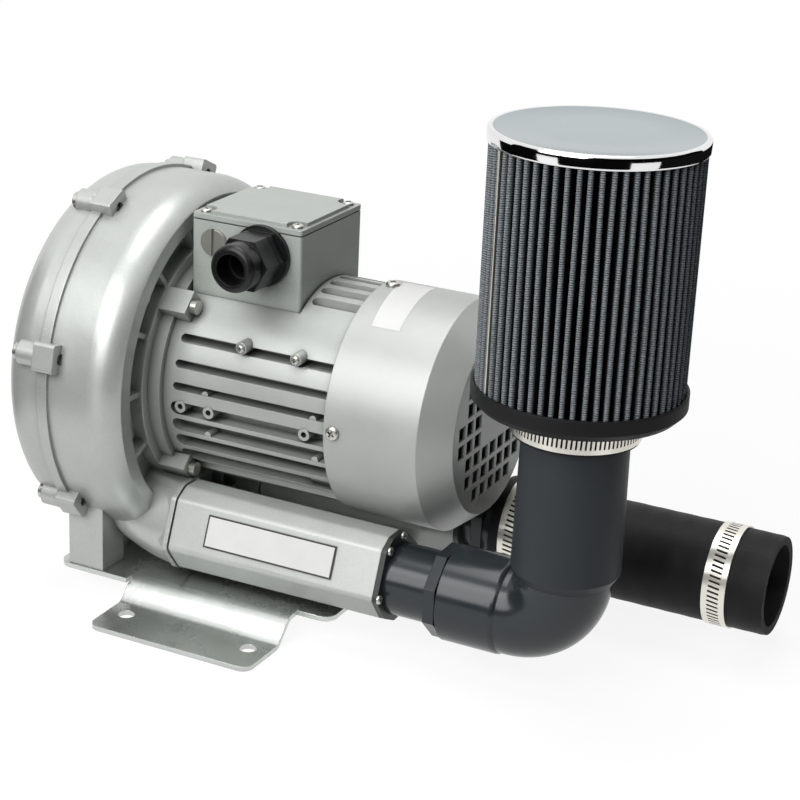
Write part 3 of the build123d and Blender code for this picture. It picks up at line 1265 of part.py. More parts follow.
def clamp_band(band_r):
    """Clamp band with the housing of its worm, made round the Z axis with the housing at +X."""
    outer = band_r + CLAMP_BAND_T
    half_w = CLAMP_BAND_W / 2
    ring = rod_z(-half_w, half_w, outer)
    half_len = CLAMP_HOUSING_LEN / 2
    housing = box(band_r - 2, outer + CLAMP_HOUSING_H, -half_len, half_len, -half_w, half_w)
    housing = fillet(housing.edges().filter_by(Axis.Y).group_by(Axis.X)[-1], CLAMP_HOUSING_ROUND)
    tunnel = rod_y(-half_len - 1, half_len + 1, WORM_R + RUN_CLEAR, worm_axis_r(band_r), 0)
    return ring + housing - rod_z(-half_w - 1, half_w + 1, band_r) - tunnel


def worm_screw(band_r):
    """Worm with its hexagon head, in the same place as its tunnel."""
    half_len = CLAMP_HOUSING_LEN / 2
    x = worm_axis_r(band_r)
    worm = rod_y(-half_len - WORM_TAIL, half_len + WORM_TAIL, WORM_R, x, 0)
    head = Pos(x, -half_len - SEAT_CLEAR, 0) * Rot(90, 0, 0) * hex_rod(WORM_HEAD_T, WORM_HEAD_FLATS)
    return worm + head


def on_riser(shape):
    """Put a clamp piece round the neck of the filter."""
    return Pos(ELBOW_AXIS_X, -PORT_Y, FILTER_CLAMP_Z) * Rot(0, 0, FILTER_CLAMP_TURN) * shape


def on_hose(shape, x, turn):
    """Put a clamp piece round the hose."""
    return Pos(x, PORT_Y, PORT_Z) * Rot(0, 90, 0) * Rot(0, 0, turn) * shape


os.makedirs("parts", exist_ok=True)
write("foot_bracket", foot_bracket())
write("foot_bolts", *foot_bolts())
write("blower_casing", blower_casing())
write("blower_cover", blower_cover())
write("cover_screws", *cover_screws())
write("impeller", impeller())
write("impeller_nut", impeller_nut())
write("inlet_silencer", silencer(-1))
write("outlet_silencer", silencer(1))
write("silencer_gaskets", *silencer_gaskets())
write("silencer_foams", *silencer_foams())
write("inlet_port_flange", port_flange(-1))
write("outlet_port_flange", port_flange(1))
write("port_screws", *port_screws())
write("motor_housing", motor_housing())
write("front_end_shield", front_end_shield())
write("flange_bolts", *flange_bolts())
write("rear_end_shield", rear_end_shield())
write("rear_shield_bolts", *rear_shield_bolts())
write("stator_core", stator_core())
write("stator_winding", stator_winding())
write("bearing_outer_rings", *bearing_rings(False))
write("bearing_inner_rings", *bearing_rings(True))
write("front_bearing_balls", bearing_balls(FRONT_BEARING_X))
write("rear_bearing_balls", bearing_balls(REAR_BEARING_X))
write("wave_spring", wave_spring())
write("shaft_seal", shaft_seal())
write("rotor_shaft", rotor_shaft())
write("rotor_core", rotor_core())
write("cooling_fan", cooling_fan())
write("fan_cowl", fan_cowl())
write("cowl_screws", *cowl_screws())
write("box_adapter", box_adapter())
write("terminal_box", terminal_box())
write("lid_gasket", lid_gasket())
write("terminal_box_lid", terminal_box_lid())
write("lid_screws", *lid_screws())
write("terminal_block", terminal_block())
write("terminal_studs", *terminal_studs())
write("cable_gland_body", cable_gland_body())
write("cable_gland_seal", cable_gland_seal())
write("cable_gland_nut", cable_gland_nut())
write("cable_gland_locknut", cable_gland_locknut())
write("blanking_plug", blanking_plug())
write("inlet_nipple", inlet_nipple())
write("inlet_elbow", inlet_elbow())
write("riser_tube", riser_tube())
write("filter_base", filter_base())
write("filter_media", filter_media())
write("filter_core", filter_core())
write("filter_cap", filter_cap())
write("outlet_nipple", outlet_nipple())
write("outlet_hose", outlet_hose())
neck_r = RISER_R1 + NECK_CLEAR + NECK_WALL
write("filter_clamp_band", on_riser(clamp_band(neck_r)))
write("filter_clamp_screw", on_riser(worm_screw(neck_r)))
write("inner_hose_clamp_band", on_hose(clamp_band(HOSE_R), INNER_CLAMP_X, INNER_CLAMP_TURN))
write("inner_hose_clamp_screw", on_hose(worm_screw(HOSE_R), INNER_CLAMP_X, INNER_CLAMP_TURN))
write("outer_hose_clamp_band", on_hose(clamp_band(HOSE_R), OUTER_CLAMP_X, OUTER_CLAMP_TURN))
write("outer_hose_clamp_screw", on_hose(worm_screw(HOSE_R), OUTER_CLAMP_X, OUTER_CLAMP_TURN))
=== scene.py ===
import math
import random

import bmesh
import bpy
from mathutils import Matrix, Vector


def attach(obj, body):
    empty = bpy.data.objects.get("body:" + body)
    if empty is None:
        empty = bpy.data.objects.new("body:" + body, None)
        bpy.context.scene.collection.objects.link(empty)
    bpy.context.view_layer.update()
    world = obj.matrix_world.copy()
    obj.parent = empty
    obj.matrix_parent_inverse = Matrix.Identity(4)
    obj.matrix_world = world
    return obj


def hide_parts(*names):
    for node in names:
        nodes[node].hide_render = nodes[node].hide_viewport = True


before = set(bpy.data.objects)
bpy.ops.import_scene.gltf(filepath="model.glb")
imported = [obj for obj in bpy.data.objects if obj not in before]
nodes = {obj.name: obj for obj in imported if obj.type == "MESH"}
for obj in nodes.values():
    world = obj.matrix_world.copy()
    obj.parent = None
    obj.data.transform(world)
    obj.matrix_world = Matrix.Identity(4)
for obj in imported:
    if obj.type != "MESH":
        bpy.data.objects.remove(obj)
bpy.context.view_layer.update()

MM = 0.001

# Places and sizes that repeat the source of the CAD part, in millimetres; heights are from the shaft.
AXIS_Z = 131.0
PORT_Y = 53.0
PORT_Z = -86.0
FILTER_X = 212.0
FILTER_Y = -53.0
MEDIA_Z0 = 47.0
MEDIA_R = 56.0
MEDIA_IN_R = 43.5
CAP_Z1 = 189.6
CAP_R = 57.5
CAP_LIP = 7.4
CAP_T = 1.2
HOSE_X0 = 132.0
HOSE_X1 = 303.0
HOSE_R = 29.6
HOSE_BORE_R = 24.2
BARB_X1 = 168.0
BARB_R = 23.9
BAND_T = 0.9
BAND_W = 14.0
HOUSING_LEN = 15.0
HOUSING_H = 10.0
WORM_AXIS = 5.8
WORM_HOLE_R = 3.5
RISER_BAND_R = 34.5
COWL_R = 68.7
COWL_SCREW_X = 73.6
BOX_X0 = -39.4
BOX_X1 = 32.9
BOX_HALF_Y = 36.4


# Camera

CAM_TARGET = Vector((0.08347, 0.0, 0.13345))
CAM_AZ = math.radians(25.64)
CAM_EL = math.radians(20.35)
CAM_ROLL = math.radians(2.66)
CAM_DIST = 1.20313
CAM_FOCAL_PX = 2059.0
CAM_CENTRE = (403.45, 396.48)


def make_camera():
    """Camera at the viewing angle of the photograph."""
    data = bpy.data.cameras.new("camera")
    cam = bpy.data.objects.new("camera", data)
    bpy.context.scene.collection.objects.link(cam)
    back = Vector((math.sin(CAM_AZ) * math.cos(CAM_EL), -math.cos(CAM_AZ) * math.cos(CAM_EL), math.sin(CAM_EL)))
    right = Vector((0, 0, 1)).cross(back).normalized()
    up = back.cross(right)
    side = right * math.cos(CAM_ROLL) + up * math.sin(CAM_ROLL)
    top = -right * math.sin(CAM_ROLL) + up * math.cos(CAM_ROLL)
    place = CAM_TARGET + back * CAM_DIST
    rows = [[side[i], top[i], back[i], place[i]] for i in range(3)] + [[0, 0, 0, 1]]
    cam.matrix_world = Matrix(rows)
    data.sensor_width = 36.0
    data.lens = CAM_FOCAL_PX * 36.0 / 800.0
    data.shift_x = (400.0 - CAM_CENTRE[0]) / 800.0
    data.shift_y = (CAM_CENTRE[1] - 400.0) / 800.0
    data.clip_start = 0.05
    data.clip_end = 30.0
    bpy.context.scene.camera = cam


make_camera()


# Materials

# Reach and samples of the ambient occlusion that paints shade into hollows and corners
HOLLOW_REACH = 0.006
NODE_SAMPLES = 4
CLOTH_BLACK_AND_FOLD_SHADE = (0.006, 0.007, 0.009)
RIDGE_R = (53.5, 55.6)


def new_material(name):
    m = bpy.data.materials.new(name)
    m.use_nodes = True
    tree = m.node_tree
    return m, tree, tree.nodes["Principled BSDF"]


def add(tree, kind, **values):
    """New node with its inputs set by name."""
    node = tree.nodes.new(kind)
    for key, value in values.items():
        node.inputs[key.replace("_", " ")].default_value = value
    return node


def object_coords(tree, stretch=(1, 1, 1), shift=(0, 0, 0)):
    coords = tree.nodes.new("ShaderNodeTexCoord")
    mapping = tree.nodes.new("ShaderNodeMapping")
    mapping.inputs["Scale"].default_value = stretch
    mapping.inputs["Location"].default_value = shift
    tree.links.new(coords.outputs["Object"], mapping.inputs["Vector"])
    return mapping.outputs["Vector"]


def ramp(tree, source, stops):
    node = tree.nodes.new("ShaderNodeValToRGB")
    elements = node.color_ramp.elements
    while len(elements) < len(stops):
        elements.new(0.5)
    for element, (place, colour) in zip(elements, stops):
        element.position = place
        element.color = (*colour, 1) if len(colour) == 3 else colour
    tree.links.new(source, node.inputs["Fac"])
    return node.outputs["Color"]


def math_node(tree, operation, first, second=None):
    """Math node on a link and a number or a second link."""
    node = tree.nodes.new("ShaderNodeMath")
    node.operation = operation
    for k, source in enumerate((first, second)):
        if source is None:
            continue
        if isinstance(source, (int, float)):
            node.inputs[k].default_value = source
        else:
            tree.links.new(source, node.inputs[k])
    return node.outputs[0]


def blend_colour(tree, factor, first, second):
    """Mix of two colours; each is a link or a fixed colour."""
    mix = tree.nodes.new("ShaderNodeMix")
    mix.data_type = "RGBA"
    tree.links.new(factor, mix.inputs["Factor"])
    for key, source in (("A", first), ("B", second)):
        if isinstance(source, tuple):
            mix.inputs[key].default_value = (*source, 1)
        else:
            tree.links.new(source, mix.inputs[key])
    return mix.outputs["Result"]


def grey(v):
    return (v, v, v)


def shade(colour, k):
    return tuple(min(1.0, c * k) for c in colour)


def bump(tree, height, distance, under=None):
    node = add(tree, "ShaderNodeBump", Strength=1.0, Distance=distance)
    tree.links.new(height, node.inputs["Height"])
    if under is not None:
        tree.links.new(under, node.inputs["Normal"])
    return node.outputs["Normal"]


def surface(name, colour, rough, metallic=0.0, blotch=(30, 0.05), rough_spread=0.06, grain=(1500, 0.00003),
            lumps=(220, 0.00004), edge=0.0006, stretch=(1, 1, 1), specular=None, painted_shade=0.0, worn=0.0, dark=None):
    """Painted, cast or moulded surface: colour blotches, roughness changes, two bumps, soft edges, and painted shade
    that darkens the hollows found by ambient occlusion.
    """
    m, tree, bsdf = new_material(name)
    vector = object_coords(tree, stretch)
    blot = add(tree, "ShaderNodeTexNoise", Scale=blotch[0], Detail=4.0, Roughness=0.6)
    fine = add(tree, "ShaderNodeTexNoise", Scale=grain[0], Detail=2.0, Roughness=0.5)
    wide = add(tree, "ShaderNodeTexNoise", Scale=lumps[0], Detail=2.0, Roughness=0.5)
    for noise in (blot, fine, wide):
        tree.links.new(vector, noise.inputs["Vector"])
    amount = blotch[1]
    tone = ramp(tree, blot.outputs["Fac"], [(0.3, shade(colour, 1 - amount)), (0.7, shade(colour, 1 + amount))])
    if worn:
        bare = ramp(tree, fine.outputs["Fac"], [(0.5, grey(0.0)), (0.75, grey(worn))])
        tone = blend_colour(tree, bare, tone, shade(colour, 1.5))
    # Painted shade: the colour is darkened towards dark in the hollows, corners and seams that ambient occlusion
    # finds
    if painted_shade:
        hollow = add(tree, "ShaderNodeAmbientOcclusion", Distance=HOLLOW_REACH)
        hollow.samples = NODE_SAMPLES
        mask = ramp(tree, hollow.outputs["AO"], [(0.35, grey(painted_shade)), (0.95, grey(0.0))])
        tone = blend_colour(tree, mask, tone, dark or shade(colour, 0.3))
    tree.links.new(tone, bsdf.inputs["Base Color"])
    gloss = add(tree, "ShaderNodeMapRange", To_Min=rough - rough_spread, To_Max=rough + rough_spread)
    tree.links.new(blot.outputs["Fac"], gloss.inputs["Value"])
    tree.links.new(gloss.outputs["Result"], bsdf.inputs["Roughness"])
    bsdf.inputs["Metallic"].default_value = metallic
    if specular is not None:
        bsdf.inputs["Specular IOR Level"].default_value = specular
    soft = None
    if edge:
        node = add(tree, "ShaderNodeBevel", Radius=edge)
        node.samples = NODE_SAMPLES
        soft = node.outputs["Normal"]
    normal = bump(tree, wide.outputs["Fac"], lumps[1], soft)
    normal = bump(tree, fine.outputs["Fac"], grain[1], normal)
    tree.links.new(normal, bsdf.inputs["Normal"])
    return m


def pleat_material():
    """Black pleats with pale wire mesh along their ridges; the colour goes from near black deep in the folds to the
    wire's tone at the ridge tips, partly the real cloth and wire and partly painted shade in the folds and painted
    light on the tips; the ramp's scale is decimetres from the axis.
    """
    m, tree, bsdf = new_material("pleated_cloth")
    flat = object_coords(tree, (1, 1, 0), (-FILTER_X * MM, -FILTER_Y * MM, 0))
    length = tree.nodes.new("ShaderNodeVectorMath")
    length.operation = "LENGTH"
    tree.links.new(flat, length.inputs[0])
    # Painted shade and light: near black with depth into the folds, lighter at the ridge tips; this is partly the
    # cloth and wire colour
    ridge_wire_and_fold_shade = ramp(tree, math_node(tree, "MULTIPLY", length.outputs["Value"], 10.0),
                 [(RIDGE_R[0] / 100, grey(0.0)), (RIDGE_R[1] / 100, grey(1.0))])
    plain = object_coords(tree)
    threads = add(tree, "ShaderNodeTexWave", Scale=251.0, Distortion=1.2, Detail=1.0, Detail_Scale=2.0)
    threads.bands_direction = "Z"
    speck = add(tree, "ShaderNodeTexNoise", Scale=900.0, Detail=2.0)
    tree.links.new(plain, threads.inputs["Vector"])
    tree.links.new(plain, speck.inputs["Vector"])
    wire = ramp(tree, threads.outputs["Fac"], [(0.2, (0.070, 0.082, 0.090)), (0.8, (0.25, 0.272, 0.290))])
    wire = blend_colour(tree, ramp(tree, speck.outputs["Fac"], [(0.4, grey(0.0)), (0.8, grey(0.6))]),
                        wire, (0.42, 0.45, 0.47))
    tree.links.new(blend_colour(tree, ridge_wire_and_fold_shade, CLOTH_BLACK_AND_FOLD_SHADE, wire), bsdf.inputs["Base Color"])
    bsdf.inputs["Roughness"].default_value = 0.62
    bsdf.inputs["Specular IOR Level"].default_value = 0.25
    normal = bump(tree, threads.outputs["Fac"], 0.00025)
    tree.links.new(bump(tree, speck.outputs["Fac"], 0.00012, normal), bsdf.inputs["Normal"])
    return m


def hose_material():
    """Matt black cover with the faint spiral print of its wrapping."""
    m, tree, bsdf = new_material("wrapped_rubber")
    plain = object_coords(tree)
    spiral = add(tree, "ShaderNodeTexWave", Scale=21.0, Distortion=0.6, Detail=1.0)
    spiral.bands_direction = "X"
    weave = add(tree, "ShaderNodeTexNoise", Scale=1600.0, Detail=2.0)
    blot = add(tree, "ShaderNodeTexNoise", Scale=35.0, Detail=3.0)
    for node in (spiral, weave, blot):
        tree.links.new(plain, node.inputs["Vector"])
    tree.links.new(ramp(tree, blot.outputs["Fac"], [(0.3, grey(0.008)), (0.7, grey(0.014))]),
                   bsdf.inputs["Base Color"])
    tree.links.new(ramp(tree, weave.outputs["Fac"], [(0.3, grey(0.48)), (0.7, grey(0.64))]),
                   bsdf.inputs["Roughness"])
    bsdf.inputs["Specular IOR Level"].default_value = 0.2
    normal = bump(tree, spiral.outputs["Fac"], 0.00035)
    tree.links.new(bump(tree, weave.outputs["Fac"], 0.00005, normal), bsdf.inputs["Normal"])
    return m


MATS = {
    # painted_shade sets how strongly ambient occlusion paints shade into each material's hollows
    "silver": surface("silver_paint_cast", (0.52, 0.54, 0.52), 0.36, 0.18, painted_shade=0.7, edge=0.0008, worn=0.3,
                      specular=0.6),
    "housing": surface("silver_paint_housing", (0.50, 0.52, 0.50), 0.35, 0.42, painted_shade=0.6, edge=0.001,
                       lumps=(160, 0.00006), worn=0.3, specular=0.6),
    # The fins get heavy painted shade: a near-black colour deep in the gaps between them
    "fins": surface("silver_paint_fins", (0.43, 0.45, 0.43), 0.36, 0.22, painted_shade=0.9, edge=0.0005, worn=0.25,
                    dark=(0.05, 0.055, 0.055), specular=0.6),
    "cowl": surface("silver_paint_cowl", (0.46, 0.475, 0.46), 0.42, 0.32, painted_shade=0.5, edge=0.0008, specular=0.6),
    "box": surface("silver_paint_box", (0.44, 0.47, 0.44), 0.38, 0.12, painted_shade=0.5, edge=0.0006, worn=0.25),
    "foot": surface("foot_steel_coat", (0.60, 0.62, 0.60), 0.27, 0.95, painted_shade=0.3, edge=0.0005, worn=0.2),
    "zinc": surface("zinc_plate", (0.58, 0.57, 0.53), 0.30, 0.9, grain=(2200, 0.00002), painted_shade=0.6, edge=0.0003),
    "alloy": surface("bare_alloy", (0.66, 0.66, 0.64), 0.35, 0.9, edge=0.0004),
    "ground_steel": surface("ground_steel", (0.58, 0.58, 0.58), 0.22, 1.0, edge=0.0003),
    "core_steel": surface("stacked_steel", (0.20, 0.20, 0.21), 0.45, 0.8, stretch=(60, 1, 1), edge=0.0),
    "copper": surface("varnished_copper", (0.50, 0.20, 0.07), 0.30, 0.5, lumps=(700, 0.0004), edge=0.0),
    "brass": surface("plain_brass", (0.60, 0.44, 0.16), 0.28, 1.0, edge=0.0003),
    "stainless": surface("stainless_band", (0.80, 0.78, 0.71), 0.30, 1.0, grain=(2500, 0.00001), edge=0.0002,
                         painted_shade=0.5),
    "chrome": surface("chrome_lip", (0.80, 0.80, 0.80), 0.07, 1.0, rough_spread=0.02, edge=0.0,
                      grain=(1200, 0.000002), lumps=(60, 0.00001)),
    "cap_top": surface("satin_lid", (0.36, 0.41, 0.43), 0.24, 1.0, rough_spread=0.03, edge=0.0,
                       grain=(1200, 0.000004), lumps=(40, 0.00002), blotch=(12, 0.05)),
    "pleats": pleat_material(),
    "hose": hose_material(),
    "hose_end": surface("cut_rubber", (0.055, 0.055, 0.057), 0.85, grain=(1300, 0.0002), edge=0.0),
    "rubber": surface("black_rubber", (0.014, 0.014, 0.015), 0.62, lumps=(500, 0.00006), edge=0.0008,
                      specular=0.2),
    "gasket": surface("grey_gasket", (0.10, 0.10, 0.10), 0.7, edge=0.0, specular=0.2),
    "cap_rubber": surface("filter_rubber", (0.010, 0.010, 0.011), 0.5, lumps=(260, 0.00004), edge=0.0012,
                          specular=0.2),
    "foam": surface("grey_foam", (0.10, 0.10, 0.10), 0.95, lumps=(900, 0.0006), edge=0.0),
    "black": surface("black_polyamide", (0.008, 0.008, 0.009), 0.3, grain=(1800, 0.00001), edge=0.0006,
                     specular=0.35),
    "plate": surface("black_end_plate", (0.03, 0.032, 0.033), 0.45, edge=0.0005, worn=0.3),
    "brown": surface("brown_thermoset", (0.12, 0.05, 0.02), 0.4, edge=0.0005),
    "pvc": surface("glossy_pipe_grey", (0.024, 0.030, 0.034), 0.2, grain=(1400, 0.000006),
                   lumps=(90, 0.00003), edge=0.0008, specular=0.45),
    "matt_pvc": surface("matt_pipe_grey", (0.036, 0.042, 0.047), 0.48, grain=(1400, 0.00001), edge=0.0008,
                        specular=0.25),
    "perforated": surface("galvanised_tube", (0.45, 0.45, 0.43), 0.4, 0.8, edge=0.0),
    "label": surface("blank_label", (0.74, 0.74, 0.72), 0.45, blotch=(60, 0.03), edge=0.0, lumps=(90, 0.00002)),
    "label_edge": surface("label_border", (0.03, 0.03, 0.03), 0.5, blotch=(60, 0.05), edge=0.0),
}

CAD_LOOKS = {
    "foot_bracket": "foot", "foot_bolts": "zinc", "blower_casing": "housing", "blower_cover": "housing",
    "cover_screws": "zinc", "impeller": "alloy", "impeller_nut": "zinc", "inlet_silencer": "silver",
    "outlet_silencer": "silver", "silencer_gaskets": "rubber", "silencer_foams": "foam",
    "inlet_port_flange": "plate", "outlet_port_flange": "plate", "port_screws": "zinc",
    "motor_housing": "fins", "front_end_shield": "fins", "flange_bolts": "zinc",
    "rear_end_shield": "silver", "rear_shield_bolts": "zinc", "stator_core": "core_steel",
    "stator_winding": "copper", "bearing_outer_rings": "ground_steel", "bearing_inner_rings": "ground_steel",
    "front_bearing_balls": "ground_steel", "rear_bearing_balls": "ground_steel", "wave_spring": "ground_steel",
    "shaft_seal": "rubber", "rotor_shaft": "ground_steel", "rotor_core": "core_steel", "cooling_fan": "black",
    "fan_cowl": "cowl", "cowl_screws": "zinc", "box_adapter": "box", "terminal_box": "box",
    "lid_gasket": "gasket", "terminal_box_lid": "box", "lid_screws": "zinc", "terminal_block": "brown",
    "terminal_studs": "brass", "cable_gland_body": "black", "cable_gland_seal": "rubber",
    "cable_gland_nut": "black", "cable_gland_locknut": "black", "blanking_plug": "zinc",
    "inlet_nipple": "pvc", "inlet_elbow": "pvc", "riser_tube": "matt_pvc", "filter_base": "cap_rubber",
    "filter_media": "pleats", "filter_core": "perforated", "filter_cap": "chrome", "outlet_nipple": "pvc",
    "outlet_hose": "rubber", "filter_clamp_band": "stainless", "filter_clamp_screw": "zinc",
    "inner_hose_clamp_band": "stainless", "inner_hose_clamp_screw": "zinc",
    "outer_hose_clamp_band": "stainless", "outer_hose_clamp_screw": "zinc",
}


def dress_cad():
    for node, look in CAD_LOOKS.items():
        mesh = nodes[node].data
        mesh.materials.clear()
        mesh.materials.append(MATS[look])


dress_cad()


# Mesh helpers: points are in millimetres, with heights from the floor

def piece(name, verts, faces, looks, slot, node=None, sharp=32, look_of=None):
    """New closed piece on the housing; looks are its materials, and look_of picks one for a face's centre."""
    mesh = bpy.data.meshes.new(name)
    mesh.from_pydata([Vector(v) * MM for v in verts], [], faces)
    build = bmesh.new()
    build.from_mesh(mesh)
    bmesh.ops.recalc_face_normals(build, faces=build.faces)
    build.to_mesh(mesh)
    build.free()
    for look in looks:
        mesh.materials.append(MATS[look])
    for face in mesh.polygons:
        face.use_smooth = True
        if look_of:
            face.material_index = look_of(face.center / MM)
    mesh.set_sharp_from_angle(angle=math.radians(sharp))
    obj = bpy.data.objects.new(name, mesh)
    bpy.context.scene.collection.objects.link(obj)
    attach(obj, "housing")
    if node:
        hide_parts(node)
    return obj


def loft(loops, ring=False):
    """Skin over loops of equal length; ring joins the last loop to the first, else both ends get a face."""
    n = len(loops[0])
    count = len(loops)
    verts = [p for loop in loops for p in loop]
    faces = []
    for i in range(count if ring else count - 1):
        a = i * n
        b = (i + 1) % count * n
        for k in range(n):
            m = (k + 1) % n
            faces.append((a + k, a + m, b + m, b + k))
    if not ring:
        faces.append(tuple(range(n)))
        faces.append(tuple(range((count - 1) * n, count * n)))
    return verts, faces


def circle(r, z, segments):
    return [(r * math.cos(2 * math.pi * k / segments), r * math.sin(2 * math.pi * k / segments), z)
            for k in range(segments)]


def lathe(profile, segments, ring=True):
    """Solid of revolution about Z from (r, z) points."""
    return loft([circle(r, z, segments) for r, z in profile], ring)


def moved(mesh, place):
    verts, faces = mesh
    return [tuple(place @ Vector(v)) for v in verts], faces


def joined(meshes):
    verts, faces = [], []
    for v, f in meshes:
        base = len(verts)
        verts.extend(v)
        faces.extend(tuple(k + base for k in face) for face in f)
    return verts, faces


def at(x, y, z, *turns):
    """Placement at x, y and a height from the shaft, after turns of (degrees, axis)."""
    place = Matrix.Translation((x, y, AXIS_Z + z))
    for angle, axis in turns:
        place = place @ Matrix.Rotation(math.radians(angle), 4, axis)
    return place


def carved(mesh, cutter):
    """Closed mesh less the closed cutter mesh, both as points and faces."""
    objects = []
    for n, (verts, faces) in enumerate((mesh, cutter)):
        data = bpy.data.meshes.new("carve_%d" % n)
        data.from_pydata([Vector(v) for v in verts], [], faces)
        build = bmesh.new()
        build.from_mesh(data)
        bmesh.ops.recalc_face_normals(build, faces=build.faces)
        build.to_mesh(data)
        build.free()
        obj = bpy.data.objects.new("carve_%d" % n, data)
        bpy.context.scene.collection.objects.link(obj)
        objects.append(obj)
    body, tool = objects
    cut = body.modifiers.new("cut", "BOOLEAN")
    cut.operation = "DIFFERENCE"
    cut.solver = "EXACT"
    cut.object = tool
    bpy.context.view_layer.update()
    result = bpy.data.meshes.new_from_object(body.evaluated_get(bpy.context.evaluated_depsgraph_get()))
    found = [tuple(v.co) for v in result.vertices], [tuple(face.vertices) for face in result.polygons]
    for obj in objects:
        bpy.data.meshes.remove(obj.data)
    bpy.data.meshes.remove(result)
    return found


def rod(r, length, segments=32):
    """Round bar from z = 0 to length."""
    return lathe([(r, 0.0), (r, length)], segments, ring=False)


# Foot

FOOT_X = 54.0
FOOT_Y = 124.5
FOOT_CORNER = 7.0
CORNER_STEPS = (0, 0.3, 1.0, 2.2, 5.0)
FOOT_LOW_Y = 92.0
FOOT_HIGH_Y = 74.0
FOOT_T = 3.0
FOOT_HOLES = [(x, y) for x in (-41.5, 41.5) for y in (-102.5, 102.5)]
FOOT_HOLE_R = 5.0
PLATE_UNDER = -118.2
PLATE_TABS = ((-FOOT_X, -103.0, 84.0), (FOOT_X, 76.0, 68.0))
TAB_CORNER = 8
BEND_STEPS = 16


def foot():
    """Bent sheet bracket: floor flanges, S-bends and the raised plate with its two tabs."""
    rise = AXIS_Z + PLATE_UNDER

    def section(y):
        t = min(max((FOOT_LOW_Y - abs(y)) / (FOOT_LOW_Y - FOOT_HIGH_Y), 0.0), 1.0)
        z = rise * t * t * (3 - 2 * t)
        slope = -rise * 6 * t * (1 - t) / (FOOT_LOW_Y - FOOT_HIGH_Y) * math.copysign(1, y)
        k = FOOT_T / math.hypot(1, slope)
        near = max(FOOT_CORNER - (FOOT_Y - abs(y)), 0.0)
        x = FOOT_X - FOOT_CORNER + math.sqrt(max(FOOT_CORNER ** 2 - near ** 2, 0.0))
        top_y = y - slope * k
        return [(-x, y, z), (x, y, z), (x, top_y, z + k), (-x, top_y, z + k)]

    side = [FOOT_Y - step for step in CORNER_STEPS] + [100.0]
    side += [FOOT_LOW_Y - (FOOT_LOW_Y - FOOT_HIGH_Y) * k / BEND_STEPS for k in range(BEND_STEPS + 1)]
    stations = side + [-y for y in reversed(side)]
    strip = loft([section(y) for y in stations])
    drills = [moved(rod(FOOT_HOLE_R, 3 * FOOT_T), Matrix.Translation((x, y, -FOOT_T))) for x, y in FOOT_HOLES]
    strip = carved(strip, joined(drills))
    tabs = []
    for x_seam, x_end, half_y in PLATE_TABS:
        toward = math.copysign(1, x_end)
        outline = [(x_seam, -half_y)]
        for sign, spans in ((-1, range(7)), (1, range(6, -1, -1))):
            for k in spans:
                a = math.radians(15 * k)
                outline.append((x_end - toward * (TAB_CORNER - TAB_CORNER * math.sin(a)),
                                sign * (half_y - TAB_CORNER + TAB_CORNER * math.cos(a))))
        outline.append((x_seam, half_y))
        tabs.append(loft([[(x, y, z) for x, y in outline] for z in (rise, rise + FOOT_T)]))
    verts, faces = joined([strip] + tabs)
    piece("foot_bracket_bent", verts, faces, ["foot"], "foot_steel", "foot_bracket", sharp=40)


# Ducts: the section as offsets from the port's axis, and the neck's stations as place along the shaft,
# scale, shift inwards, shift up and flattening of the upper half

DUCT_OUTLINE = ((-29, -4), (-18, 24), (-9, 29), (5, 29), (24, 13), (28, -6), (17, -25), (-4, -26.5), (-17, -20))
DUCT_GROWTH = 1.03
NECK_STATIONS = ((-30.0, 0.97, 0.0, 0.0, 1.0), (-38.0, 0.96, 0.2, 0.4, 0.97), (-46.0, 0.95, 0.8, 1.4, 0.92),
                 (-55.0, 0.94, 2.0, 3.2, 0.86), (-65.0, 0.93, 3.6, 5.8, 0.80), (-76.0, 0.90, 5.6, 9.2, 0.74),
                 (-88.0, 0.84, 8.0, 13.5, 0.68))


def neck_sweeps():
    """Smooth fairings that carry the two ducts from the seam into the casing's rim."""

    def cut_corners(points):
        found = []
        for k, (a, b) in enumerate(points):
            a2, b2 = points[(k + 1) % len(points)]
            found += [(a * 0.75 + a2 * 0.25, b * 0.75 + b2 * 0.25), (a * 0.25 + a2 * 0.75, b * 0.25 + b2 * 0.75)]
        return found

    outline = cut_corners(cut_corners([(a * DUCT_GROWTH, b * DUCT_GROWTH) for a, b in DUCT_OUTLINE]))
    necks = []
    for side in (-1, 1):
        loops = []
        for x, scale, inward, up, head in NECK_STATIONS:
            loops.append([(x, side * (PORT_Y - a * scale - inward),
                           AXIS_Z + PORT_Z + up + b * scale * (head if b > 0 else 1)) for a, b in outline])
        necks.append(loft(loops))
    piece("casing_neck_sweeps", *joined(necks), ["housing"], "silver_paint", sharp=50)


# Filter

PLEATS = 60
PLEAT_SHAPE = ((-0.5, 43.5), (-0.42, 44.2), (-0.29, 50.0), (-0.26, 54.0), (-0.2, 55.4), (-0.1, 55.9),
               (0.0, 56.0), (0.1, 55.9), (0.2, 55.4), (0.26, 54.0), (0.29, 50.0), (0.42, 44.2))
PLEAT_CLOTH = 2.6
PLEAT_ROWS = 24
STRIP_ANGLE = -129.5
STRIP_HALF = 0.9


